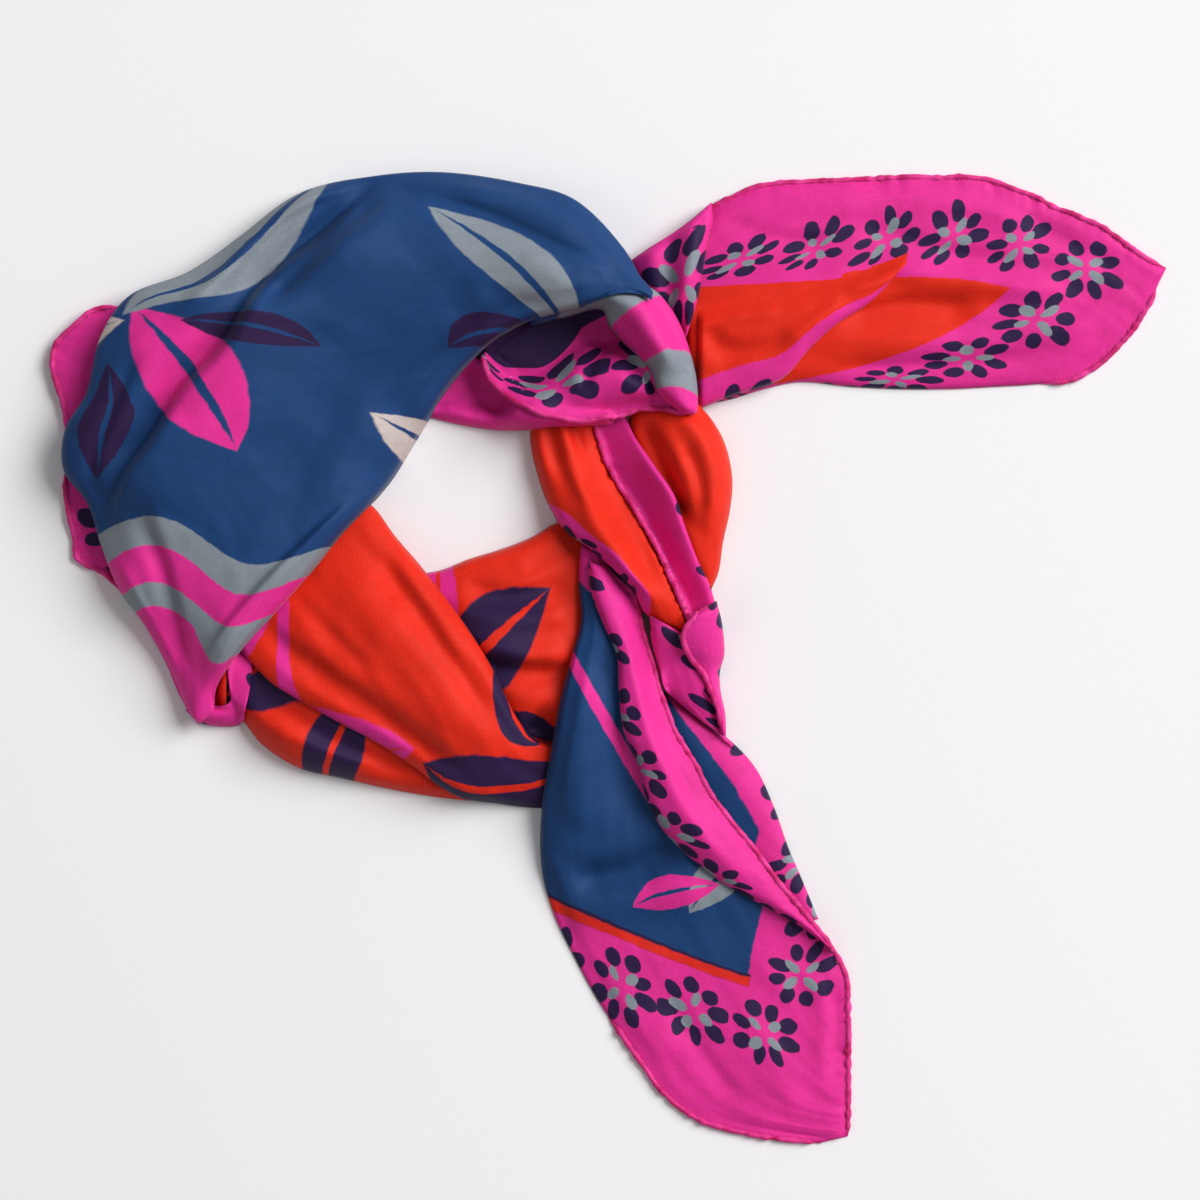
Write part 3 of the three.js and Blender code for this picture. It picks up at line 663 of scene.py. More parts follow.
def stretch(name, rows, cloth, folds=(), wrinkle=0.35, ripple=(70, 8), crumple=0.4, inset=(0, 0), rim=1.9,
            melt=0):
    """Lays one stretch of cloth over the solid of the same name and over what already lies there. Rows are
    edge a (x, y) and edge b (x, y) of each section. The cloth turns round both edges and runs back under
    itself, nearly to the middle. Where `melt` is given, edge a has no rim of its own: the cloth comes up
    out of the layer below over that distance. Returns the piece and its cut, in metres."""
    rows = np.array(rows, float)
    length = max(np.linalg.norm(np.diff(rows[:, k:k + 2], axis=0), axis=1).sum() for k in (0, 2))
    widest = np.linalg.norm(rows[:, 0:2] - rows[:, 2:4], axis=1).max()
    t = np.linspace(0, 1, max(14, round(length / step)) + 1)
    even = np.linspace(0, 1, max(10, 2 * round(widest / step / 2)) + 1)
    crowded = 0.35               # how much closer the mesh lies at the edges than in the middle
    s = (1 - crowded) * even + crowded * (0.5 - 0.5 * np.cos(np.pi * even))

    def plan(t, share_of):
        a, b = edge_curve(rows[:, 0:2], t), edge_curve(rows[:, 2:4], t)
        width = np.linalg.norm(b - a, axis=1)[:, None]
        share = share_of(width)
        return a[:, :1] + (b - a)[:, :1] * share, a[:, 1:] + (b - a)[:, 1:] * share, width, share

    def share_of(width):
        """Shares of the width, less the room that a hem takes at either edge."""
        most_room = 0.3
        first = np.minimum(inset[0] / width, most_room)
        last = 1 - np.minimum(inset[1] / width, most_room)
        return first + (last - first) * s

    # the solid is felt a little inside its outline, and the layer below where the cloth will lie
    ray_end = 0.012
    ray_side = 0.02
    lowest = 0.15
    on_table = 3.0               # the highest underside where nothing lies below
    on_cloth = 1.0               # and above the layer below, where one does
    x, y, width, share = plan(t, share_of)
    rx, ry, _, _ = plan(
        ray_end + (1 - 2 * ray_end) * t, lambda width: ray_side + (1 - 2 * ray_side) * share_of(width))
    foot, top = solid_heights(name, rx + datum[0], ry + datum[1])
    foot = evened(foot, along=3, across=1)
    top = evened(top, along=18, across=3)
    ground = pile_under(x, y)
    ground = np.maximum(ground, evened(ground, along=2, across=2))
    foot = np.where(ground > 0, np.minimum(foot, ground + on_cloth), np.minimum(foot, on_table))
    foot = np.maximum(evened(foot, along=2, across=2), lowest)
    foot = np.where(ground > 0, np.maximum(foot, ground + clearance), foot)

    # folds, then ripples that run along the cloth and creases in every direction, weaker at the edges
    edge_zone = 9
    edge_share = 0.25
    ripple_height = 1.6
    crease_height = 3
    crease_mean = 0.2
    half_way = len(s) // 2
    strides = np.hypot(np.diff(x[:, half_way]), np.diff(y[:, half_way]))
    run = np.concatenate([[0], np.cumsum(strides)])
    from_edge = np.minimum(share, 1 - share) * width
    shoulder = np.clip(from_edge / edge_zone, 0, 1)
    seed = sum(map(ord, name)) % 97
    down = run[:, None] / ripple[0]
    aside = share * width / ripple[1]
    grain = noise_at(down, aside, seed) + 0.5 * noise_at(down * 2.3, aside * 2.1, seed + 9)
    creases = abs(noise_at(x / 34, y / 34, seed)) - abs(noise_at(x / 15, y / 15, seed + 3)) * 0.4
    top = top + (
        fold_lift(x, y, folds) + wrinkle * ripple_height * grain
        - crumple * crease_height * (creases - crease_mean)) * (edge_share + (1 - edge_share) * shoulder)

    # puckers beside a hem
    pucker_height = 1.1
    pucker_reach = 7
    pucker = noise_at(run[:, None] / 4.2, seed, 2) + noise_at(run[:, None] / 13, seed, 8)
    for gap, pulled in ((share * width, inset[0]), ((1 - share) * width, inset[1])):
        if pulled:
            top = top + pucker_height * pucker * np.exp(-(gap / pucker_reach) ** 2)

    # the round rims at the edges and the ends
    end_rim = 1.6 * rim
    thinnest = 0.3
    end = np.clip(np.minimum(run, run[-1] - run)[:, None] / end_rim, 0, 1)
    edge = np.clip(from_edge / rim, 0, 1)
    swell = np.sqrt(1 - (1 - edge) ** 2) * np.sqrt(1 - (1 - end) ** 2)
    middle = foot + cloth_edge
    top = np.maximum(middle + (top - middle) * swell, middle + thinnest * swell)
    low = middle + (foot - middle) * swell
    if melt:
        sunk = 0.2
        out = np.clip(share * width / melt, 0, 1) ** 2
        top = ground - sunk + (top - ground + sunk) * out * (3 - 2 * out)
        low = np.minimum(low, top - 0.1)
    add_to_pile(x, y, top)

    if len(cloth[0]) == 5:
        u, v = print_by_run(cloth, t, share)
    else:
        u, v = print_by_places(cloth, x, y)
    uv = np.stack([u, v], -1)
    upper = np.stack([x, y, top], -1)
    lower = np.stack([x, y, low], -1)
    turn = round(turned_back * (len(s) - 1))
    points = [lower[:, turn:0:-1], upper, lower[:, -2:-turn - 2:-1]]
    cut = [2 * uv[:, :1] - uv[:, turn:0:-1], uv, 2 * uv[:, -1:] - uv[:, -2:-turn - 2:-1]]
    points = np.concatenate(points[1:] if melt else points, axis=1)
    cut = np.concatenate(cut[1:] if melt else cut, axis=1)
    piece, area = cloth_object(name + "_silk", points, cut, printed_silk)
    laid[name] = {"a": upper[:, 0], "b": upper[:, -1], "uv a": uv[:, 0], "uv b": uv[:, -1]}
    mean_length = np.linalg.norm(np.diff(points, axis=0), axis=2).sum(0).mean()
    flat = (round(area / mean_length * mm, 3), round(mean_length * mm, 3))
    return piece, flat


def declare(node):
    """Says which solid a laid stretch replaces, its flat size, and what it lies on."""
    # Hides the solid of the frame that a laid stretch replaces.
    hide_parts(node)


band_lower, cut = stretch("band_lower", [
    (-167, -20, -164, 4),
    (-158, -27, -154, 3),
    (-149, -38, -139, -2),
    (-133, -48, -122, -10),
    (-116, -52, -105, -20),
    (-94, -57, -88, -32),
    (-77, -60, -73, -44),
    (-60, -62, -58, -54),
], cloth=[(0, 560, 470, 590, 440), (1, 650, 540, 670, 520)], folds=[
    (-3.4, 5, 5, [(-156, -6), (-140, -22), (-112, -38), (-80, -52)]),
    (2.0, 4, 6, [(-148, -24), (-122, -40), (-92, -50)]),
    (-1.6, 3, 4, [(-140, -36), (-116, -46), (-92, -52)]),
], crumple=0.5)
declare("band_lower")

band_inner, cut = stretch("band_inner", [
    (-88, 35, -68, 7),
    (-73, 37, -55, -14),
    (-60, 42, -45, -29),
    (-47, 46, -34, -38),
    (-34, 51, -21, -42),
    (-21, 58, -6, -40),
    (-4, 59, 7, -27),
], cloth=[(0, 600, 700, 560, 660), (1, 680, 620, 610, 550)], folds=[
    (-5.0, 3, 7, [(-58, -2), (-40, -5), (-24, -6), (-8, -4)]),
    (2.6, 6, 3, [(-60, 6), (-38, 1), (-16, 0)]),
    (-3.4, 4, 6, [(-64, 30), (-40, 26), (-14, 32)]),
    (2.0, 4, 5, [(-70, 20), (-44, 16), (-14, 18)]),
    (-6.0, 8, 8, [(-36, -26), (-26, -34), (-18, -36)]),
], crumple=0.6)
declare("band_inner")

turn_inside, cut = stretch("turn_inside", [
    (-180, -14, -177, -20),
    (-172, -8, -171, -25),
    (-163, -2, -164, -25),
], cloth=[(0, 600, 560, 600, 580), (1, 620, 560, 620, 585)])
declare("turn_inside")

band_turn, cut = stretch("band_turn", [
    (-176, -16, -182, -23),
    (-172, -20, -177, -28),
    (-166, -21, -169, -30),
    (-162, -19, -158, -29),
    (-162, -14, -155, -21),
    (-163, -7, -153, -11),
    (-163, 1, -152, -1),
    (-164, 8, -151, 9),
], cloth=[(0, 2, 400, 10, 400), (1, 2, 460, 12, 460)], rim=3.5)
declare("band_turn")

band_front, cut = stretch("band_front", [
    (-113, 70, -163, 10),
    (-102, 65, -154, -1),
    (-92, 52, -144, -11),
    (-80, 38, -129, -20),
    (-68, 23, -113, -29),
    (-58, 9, -98, -37),
    (-49, -6, -83, -47),
    (-43, -19, -73, -55),
    (-38, -28, -62, -61),
    (-32, -35, -49, -63),
    (-23, -38, -34, -65),
    (-15, -39, -19, -65),
], cloth=[(0, 520, 560, 470, 500), (1, 660, 470, 630, 440)], folds=[
    (-4.0, 4, 7, [(-152, 18), (-134, 2), (-108, -16), (-80, -36), (-56, -54)]),
    (2.6, 9, 8, [(-122, 44), (-98, 16), (-72, -18), (-48, -46)]),
    (-3.0, 5, 6, [(-104, 52), (-84, 24), (-64, -6), (-44, -34)]),
    (2.0, 4, 5, [(-92, 46), (-76, 22), (-58, -6)]),
    (-1.6, 3, 4, [(-138, 30), (-118, 10), (-96, -10)]),
], crumple=0.6)
declare("band_front")

# ---- The corners under the band at the left -----------------------------------------------------------
# Two flat bits of the pink border stick out from under the broad band. Their outer edge is the hem.

hem_radius = 1.25            # the rolled hem is about 2.5 mm thick


def build_hem_colour_and_highlight(cloth):
    """Pink in random patches of a darker and a paler pink: uneven tone, with the paler patches also a painted
    highlight where the roll would catch the light.
    """
    tone_and_highlight_patch = cloudy(cloth, 130, 2).outputs[0]
    return paint(step_up(tone_and_highlight_patch, 0.5, 0.16), tint(184, 26, 96), tint(222, 62, 146))


hem_silk = bpy.data.materials.new("hem_silk")
hem_silk.use_nodes = True
silk_finish(hem_silk, build_hem_colour_and_highlight)


hem_paths = []


def rolled_hem(name, of, side, start=0.0, end=1.0):
    """A thin crinkled roll along one edge of a laid stretch, between two shares of its length."""
    hem_step = 1.1
    sides = 10
    crinkle = 0.45               # how much the roll's radius varies
    sway = 0.7                   # how far it wanders sideways
    tip_length = 6               # over which the roll thins towards its ends
    tip_least = 0.3
    sunk = 0.3                   # how far its middle lies below the cloth's rim
    lowest = 0.15
    path = laid[of][side]
    cloth = laid[of]["uv " + side]
    runs = np.concatenate([[0], np.cumsum(np.linalg.norm(np.diff(path, axis=0), axis=1))])
    at = np.linspace(start * runs[-1], end * runs[-1], max(12, round((end - start) * runs[-1] / hem_step)))
    centre = np.stack([np.interp(at, runs, path[:, k]) for k in range(3)], -1)
    uv = np.stack([np.interp(at, runs, cloth[:, k]) for k in range(2)], -1)
    heading = np.gradient(centre[:, :2], axis=0)
    heading /= np.maximum(np.linalg.norm(heading, axis=1), 1e-6)[:, None]
    seed = sum(map(ord, name)) % 89
    wander = noise_at(at[:, None] / 11, seed, 0)[:, 0]
    pinch = noise_at(at[:, None] / 3.1, seed, 5)[:, 0]
    tip = np.clip(np.minimum(at - at[0], at[-1] - at) / tip_length, tip_least, 1)
    radius = hem_radius * (1 + crinkle * pinch) * tip
    centre[:, 0] -= heading[:, 1] * sway * wander
    centre[:, 1] += heading[:, 0] * sway * wander
    centre[:, 2] = np.maximum(radius + lowest, centre[:, 2] - sunk)
    angle = 2 * np.pi * np.arange(sides) / sides
    out = radius[:, None] * np.cos(angle)
    points = np.stack([
        centre[:, :1] - heading[:, 1:] * out,
        centre[:, 1:2] + heading[:, :1] * out,
        centre[:, 2:] + radius[:, None] * np.sin(angle)], -1)
    around = np.stack([uv[:, :1] + 0 * out, uv[:, 1:] + out], -1)

    # the line of the stitches: on the roll, towards the cloth, and not at its very tips
    towards_cloth = 0.75
    up = 0.6
    bare_tips = 3
    to_left = np.array([-heading[:, 1].mean(), heading[:, 0].mean()])
    other = laid[of]["b" if side == "a" else "a"]
    inward = np.sign((other.mean(0)[:2] - centre.mean(0)[:2]) @ to_left)
    hem_paths.append(np.stack([
        centre[:, 0] - inward * heading[:, 1] * towards_cloth * radius,
        centre[:, 1] + inward * heading[:, 0] * towards_cloth * radius,
        centre[:, 2] + up * radius], -1)[bare_tips:-bare_tips])
    piece, _ = cloth_object(name + "_roll", points, around, hem_silk, closed_round=True)
    add_to_pile(points[:, :, 0], points[:, :, 1], points[:, :, 2])
    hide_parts(name)
    return piece


corner_upper, cut = stretch("corner_upper", [
    (-209, 150, -192, 150),
    (-219, 150, -190, 138),
    (-230, 143, -191, 126),
    (-238, 135, -193, 115),
    (-240, 126, -196, 105),
    (-237, 114, -200, 96),
    (-234, 103, -206, 89),
    (-234, 94, -213, 85),
], cloth=[(0, 0, 200, 17, 200), (1, 0, 275, 21, 275)], inset=(hem_radius, 0))
hem = rolled_hem("hem_corner_upper", "corner_upper", "a")
declare("corner_upper")

corner_lower, cut = stretch("corner_lower", [
    (-235, 81, -210, 74),
    (-234, 66, -204, 61),
    (-231, 52, -200, 50),
    (-229, 42, -196, 42),
    (-217, 35, -190, 36),
    (-211, 28, -188, 31),
], cloth=[(0, 4, 300, 28, 300), (1, 8, 358, 34, 358)], inset=(hem_radius, 0))
hem = rolled_hem("hem_corner_lower", "corner_lower", "a")
declare("corner_lower")

# ---- The lower free corner ----------------------------------------------------------------------------
# The pointed end that hangs from the knot towards the bottom: its blue field with the red line, its back
# layer, and the border that is rolled over in front with the hem outwards.

tail_down_back, cut = stretch("tail_down_back", [
    (18, -14, 26, -16),
    (22, -31, 39, -27),
    (30, -48, 52, -36),
    (38, -62, 63, -48),
    (48, -75, 71, -65),
    (60, -88, 77, -82),
    (72, -101, 83, -96),
    (85, -113, 90, -113),
], cloth=[
    (0, 60, 420, 40, 420), (0.3, 60, 385, 36, 385), (0.62, 60, 345, 36, 345), (0.75, 40, 325, 28, 325),
    (1, 30, 290, 20, 290)])
declare("tail_down_back")

tail_down, cut = stretch("tail_down", [
    (-12, 48, 0, 45),
    (-13, 33, 7, 29),
    (-12, 16, 13, 11),
    (-16, 0, 18, -4),
    (-21, -19, 22, -24),
    (-25, -41, 32, -40),
    (-29, -66, 44, -62),
    (-29, -91, 58, -80),
    (-24, -110, 73, -98),
    (-15, -129, 88, -115),
    (-4, -149, 102, -134),
    (10, -169, 104, -156),
    (23, -187, 104, -174),
    (39, -199, 104, -189),
    (65, -206, 104, -199),
    (91, -209, 103.5, -206),
], cloth=[
    (103, -210, 0, 0), (58, -141, 46, 64), (48, -135, 57, 64), (39, -130, 67, 64), (20, -126, 87, 64),
    (5, -123, 102, 64), (-12, -116, 121, 64), (-21, -110, 131, 64), (-27, -102, 141, 64), (105, -161, 0, 49),
    (103, -137, 0, 73), (66, -165, 37, 42), (78, -137, 25, 72), (38, -149, 69, 42), (6, -141, 101, 42),
    (39, -198, 72, 0), (75, -207, 30, 0), (13, -173, 97, 14), (-12, -138, 119, 42), (68, -109, 46, 98),
    (75, -98, 44, 112), (0, 40, 150, 250), (-14, 10, 160, 215), (20, -24, 110, 185), (-25, -40, 155, 135),
    (-29, -75, 150, 95), (25, -80, 90, 118),
], folds=[
    (-5.0, 6, 7, [(-18, -95), (0, -93), (16, -88), (30, -78)]),
    (2.2, 8, 8, [(-24, -106), (6, -107), (36, -100), (60, -104)]),
    (2.6, 8, 9, [(-10, 0), (-15, -40), (-12, -78)]),
    (-2.2, 4, 6, [(-22, -30), (-26, -64), (-25, -92)]),
    (-2.6, 5, 8, [(-4, 10), (2, -24), (8, -56), (20, -78)]),
    (1.6, 7, 7, [(52, -146), (70, -172), (84, -198)]),
    (-1.4, 5, 7, [(22, -140), (40, -170), (58, -196)]),
    (1.2, 5, 6, [(0, -128), (12, -154), (30, -176)]),
    (1.2, 4, 5, [(86, -128), (93, -158), (90, -190)]),
    (-1.0, 3, 4, [(96, -140), (98, -164), (96, -186)]),
], wrinkle=0.3, inset=(0, hem_radius))
hem_down_bottom = rolled_hem("hem_down_bottom", "tail_down", "a", 0.66, 1)
hem_down_side = rolled_hem("hem_down_side", "tail_down", "b", 0.66, 1)
declare("tail_down")

tail_down_flap, cut = stretch("tail_down_flap", [
    (-9, 41, 1, 38),
    (-8, 29, 12, 25),
    (-3, 15, 15, 13),
    (3, 1, 19, 0),
    (4, -14, 23, -14),
    (6, -31, 29, -31),
    (12, -45, 38, -46),
    (16, -61, 45, -59),
    (23, -74, 55, -72),
    (35, -86, 64, -83),
    (49, -97, 72, -94),
    (65, -106, 81, -105),
    (81, -115, 90, -116),
    (95, -125, 98, -128),
], cloth=[
    (0, 12, 300, -2, 300), (0.15, 16, 270, -6, 270), (0.3, 18, 240, -8, 240), (0.5, 24, 190, -9, 190),
    (0.65, 26, 160, -9, 160), (0.8, 22, 125, -8, 125), (0.92, 12, 100, -4, 100), (1, 4, 80, 0, 80)],
    folds=[
    (1.8, 3, 4, [(4, 24), (10, -6), (20, -40), (40, -76), (64, -99)]),
    (-1.8, 3, 3, [(10, 20), (16, -10), (28, -44), (48, -76)]),
], inset=(0, hem_radius))
hem = rolled_hem("hem_flap", "tail_down_flap", "b", 0.04, 1)
declare("tail_down_flap")

# ---- The right-hand free corner -----------------------------------------------------------------------
# The other pointed end: border with daisies round a corner of the orange field, a pleat across it, and a
# turned part beside the knot.

tail_right, cut = stretch("tail_right", [
    (33, 183, 33, 108),
    (46, 195, 50, 110),
    (64, 203, 67, 115),
    (82, 205, 82, 118),
    (104, 206, 104, 116),
    (125, 207, 125, 115),
    (147, 207, 147, 115),
    (163, 206, 166, 116),
    (179, 200, 183, 117),
    (195, 193, 199, 119),
    (211, 186, 212, 127),
    (224, 177, 223, 138),
    (233, 171, 231, 150),
    (240, 168, 236, 160),
], cloth=[
    (238, 164, 900, 900), (204, 161, 876, 876), (176, 174, 843, 876), (147, 187, 810, 876),
    (116, 181, 778, 876), (82, 175, 745, 876), (45, 168, 712, 876), (207, 194, 866, 901),
    (168, 207, 832, 904), (125, 208, 790, 905), (82, 206, 747, 906), (56, 203, 720, 906),
    (180, 140, 876, 845), (149, 125, 876, 814), (116, 113, 876, 783), (218, 132, 900, 862),
    (199, 119, 900, 838), (175, 160, 854, 854), (127, 161, 798, 854), (82, 158, 745, 854),
    (54, 156, 716, 854), (151, 145, 854, 830), (125, 133, 854, 800), (104, 128, 854, 778),
    (74, 119, 854, 745),
], folds=[
    (-3.4, 3, 7, [(96, 146), (112, 149), (130, 152), (160, 150)]),
    (2.6, 6, 5, [(112, 166), (140, 162), (176, 158), (200, 158)]),
    (-1.8, 4, 5, [(100, 184), (126, 180), (150, 172), (182, 168)]),
    (1.6, 5, 6, [(70, 192), (110, 195), (150, 194), (186, 182)]),
    (-1.6, 4, 5, [(46, 188), (70, 180), (96, 176)]),
    (1.8, 6, 6, [(100, 132), (140, 134), (180, 138), (206, 146)]),
    (-1.6, 4, 5, [(84, 124), (124, 125), (164, 126), (196, 134)]),
    (-1.3, 4, 5, [(176, 190), (198, 178), (222, 166)]),
    (1.2, 4, 5, [(190, 130), (206, 146), (226, 160)]),
], wrinkle=0.35, inset=(hem_radius, 0))
hem_right_top = rolled_hem("hem_right_top", "tail_right", "a", 0.04, 1)
hem_right_end = rolled_hem("hem_right_end", "tail_right", "b", 0.69, 1)
declare("tail_right")

tail_right_pleat, cut = stretch("tail_right_pleat", [
    (38, 150, 38, 106),
    (54, 154, 52, 111.5),
    (74, 157, 74, 119),
    (89, 161, 86, 132),
    (104, 165, 97, 142),
    (118, 169, 112, 152),
    (128, 173, 127, 168),
], cloth=[(0, 690, 822, 690, 866), (0.7, 770, 836, 770, 862), (1, 806, 846, 806, 852)], folds=[
    (-2.8, 4, 6, [(38, 142), (50, 132), (64, 130), (80, 138)]),
    (2.4, 4, 6, [(48, 124), (66, 128), (84, 140), (104, 154)]),
    (-1.6, 3, 4, [(66, 150), (86, 152), (108, 160)]),
], melt=12)
declare("tail_right_pleat")

tail_right_turn, cut = stretch("tail_right_turn", [
    (26, 180, 44, 195),
    (15, 174, 44.5, 187),
    (8, 168, 42, 176),
    (12, 158, 40, 164),
    (18, 149, 38, 153),
    (25, 141, 35, 143),
    (30, 134, 32.5, 135),
], cloth=[(0, 655, 899, 690, 899), (1, 668, 856, 686, 856)], folds=[
    (2.4, 3, 4, [(36, 190), (36, 174), (32, 156), (30, 144)]),
    (-3.0, 4, 4, [(28, 182), (26, 166), (27, 150)]),
    (1.6, 4, 4, [(18, 178), (18, 164), (23, 150)]),
])
declare("tail_right_turn")

# ---- The gathered cloth below the knot ----------------------------------------------------------------
# Two orange lobes swell out below the knot, with a strip of the border between them that twists round at
# its lower end.

drop_left, cut = stretch("drop_left", [
    (-30, 116, -6, 118),
    (-34, 95, -4, 95),
    (-31, 79, 1, 79),
    (-26, 65, 10, 65),
    (-19, 54, 18, 50),
    (-8, 46, 23, 39),
    (1, 38, 28, 28),
    (10, 29, 32, 19),
    (15, 19, 34.5, 11),
    (20, 15, 35, 7),
], cloth=[
    (0, 600, 845, 626, 830), (0.28, 620, 846, 654, 812), (0.38, 632, 864, 664, 816),
    (0.55, 650, 872, 684, 824), (0.75, 680, 866, 706, 834), (1, 700, 848, 716, 836)], folds=[
    (4.0, 4, 5, [(-20, 84), (-12, 68), (-2, 52), (12, 32), (22, 18)]),
    (-7.0, 5, 8, [(-8, 108), (-4, 90), (4, 70), (16, 48), (28, 28)]),
    (-3.4, 2.5, 4, [(-24, 112), (-24, 94), (-18, 76), (-8, 58)]),
    (2.4, 3, 4, [(-29, 106), (-31, 90), (-27, 74)]),
    (-3.0, 2.5, 3, [(-15, 114), (-15, 98), (-10, 84)]),
    (2.0, 2.5, 2.5, [(-19, 112), (-19, 98), (-15, 84)]),
], crumple=0.5)
declare("drop_left")

drop_right, cut = stretch("drop_right", [
    (12, 112, 34, 112),
    (8, 97, 44, 102),
    (12, 85, 50, 91),
    (17, 74, 53, 76),
    (22, 61, 52, 63),
    (28, 47, 49, 49),
    (34, 36, 47, 36),
    (40, 29, 44, 29),
], cloth=[(0, 770, 500, 835, 500), (1, 775, 590, 830, 590)], folds=[
    (-6.0, 4, 7, [(12, 104), (20, 88), (28, 70), (34, 52)]),
    (3.4, 5, 5, [(24, 106), (36, 98), (44, 84), (46, 66), (44, 50)]),
    (-2.8, 2.5, 4, [(30, 110), (38, 104), (48, 98)]),
    (-2.6, 3, 4, [(32, 92), (38, 76), (40, 58)]),
    (1.8, 3, 3, [(26, 94), (33, 78), (36, 60)]),
], crumple=0.5)
declare("drop_right")

drop_under, cut = stretch("drop_under", [
    (17, 18, 35, 8),
    (18, 7, 39, -4),
    (21, -4, 45, -15),
    (24, -14, 48, -26),
    (35, -24, 50, -34),
    (46, -32, 55, -39),
], cloth=[(0, 4, 500, 20, 500), (1, 2, 560, 16, 560)])
declare("drop_under")

drop_strip, cut = stretch("drop_strip", [
    (-9, 108, 5, 110),
    (-6, 95, 10, 96),
    (-2, 83, 18, 84),
    (6, 69, 28, 69),
    (14, 56, 33, 54),
    (21, 43, 38, 41),
    (26, 31, 43, 31),
    (31, 20, 46.5, 20),
    (34.5, 9, 48.5, 12),
], cloth=[(0, -8, 400, 8, 400), (0.5, -9, 452, 12, 452), (1, -8, 505, 10, 505)], folds=[
    (-1.0, 3, 3, [(6, 92), (18, 66), (32, 38)]),
], inset=(hem_radius, 0))
hem = rolled_hem("hem_strip", "drop_strip", "a")
declare("drop_strip")

drop_turn, cut = stretch("drop_turn", [
    (38, 20, 46, 24),
    (30, 9, 48.5, 14),
    (34, -1, 49.5, 1),
    (39, -8, 47.5, -7),
    (43, -16, 48, -15),
    (46, -25, 50, -25),
    (47.5, -33, 50, -34),
], cloth=[(0, 0, 506, 16, 506), (1, 0, 560, 6, 560)], inset=(hem_radius, 0))
hem = rolled_hem("hem_turn", "drop_turn", "a", 0.1, 1)
declare("drop_turn")

# ---- The knot -----------------------------------------------------------------------------------------
# The border flares out of the knot: a pouch below its hem, the open mouth above it, and the end of the
# broad band curled over it as a lip.

knot_pouch, cut = stretch("knot_pouch", [
    (-82, 118, -78, 103),
    (-69, 124, -66, 100),
    (-56, 129, -55, 98),
    (-46, 122, -45, 97),
    (-36, 112, -35, 97),
    (-25, 106, -25, 98),
    (-12, 104, -12, 98.5),
    (2, 103, 2, 99.5),
], cloth=[(0, 12, 600, 0, 600), (1, 10, 680, 2, 680)], folds=[
    (-15.0, 11, 10, [(-84, 114), (-68, 117), (-54, 113), (-38, 106)]),
    (2.4, 3, 3, [(-70, 104), (-54, 101), (-34, 100), (-14, 101)]),
], crumple=0.6)
declare("knot_pouch")

# The left part of the mouth lies on the broad dark leaf of the print, which is painted shade for its hollow.
knot_mouth, cut = stretch("knot_mouth", [
    (-55, 128, -54, 134),
    (-51, 117, -43, 140),
    (-42, 109, -32, 148),
    (-28, 102, -21, 153),
    (-12, 99.5, -8, 153),
    (1, 101, 5, 146),
    (13, 104.5, 16, 133),
    (22, 104.5, 23, 120),
    (30, 103, 31, 112),
    (36, 102, 36.5, 106),
], cloth=[(0, 0, 600, 90, 600), (0.15, 0, 612, 130, 612), (0.3, 0, 624, 110, 624), (0.42, 0, 634, 60, 634),
          (0.55, 0, 646, 44, 646), (0.75, 0, 665, 30, 665), (1, 0, 690, 6, 690)], folds=[
    (-21, 13, 16, [(-58, 134), (-44, 131), (-30, 136), (-14, 142), (3, 140), (15, 128)]),
    (-4.5, 4, 6, [(-44, 118), (-32, 120), (-22, 128), (-14, 142)]),
    (4.5, 7, 8, [(-22, 114), (-4, 120), (12, 116), (22, 110)]),
    (-4.0, 3, 4, [(6, 132), (12, 122), (24, 110)]),
    (-1.8, 3, 3, [(-12, 112), (-8, 122), (-4, 132)]),
], inset=(hem_radius, 0))
hem = rolled_hem("hem_mouth", "knot_mouth", "a")
declare("knot_mouth")

knot_lip, cut = stretch("knot_lip", [
    (-35, 146, -33, 141.5),
    (-22, 151, -19, 145),
    (-8, 157, -3, 148),
    (8, 160, 0, 141),
    (19, 157, 6, 134),
    (27, 148, 12, 128),
    (32.5, 137, 18, 121),
    (36.5, 124, 20, 114),
    (38, 112, 24, 109),
    (37.5, 104, 32, 103),
], cloth=[
    (0, 393, 393, 407, 379), (0.22, 400, 400, 414, 386), (0.5, 412, 412, 426, 398),
    (0.74, 423, 423, 437, 409), (0.9, 431, 431, 445, 417), (1, 440, 440, 454, 426)], folds=[
    (7.5, 8, 7, [(-14, 152), (2, 152), (12, 146), (20, 132), (28, 116)]),
    (-2.4, 3, 3, [(8, 156), (22, 147), (31, 128)]),
])
declare("knot_lip")

# ---- The broad band over the ring ---------------------------------------------------------------------
# The widest stretch runs from the lower left over the top to the knot. It is several layers of cloth, with
# long uneven folds that follow its outer side.

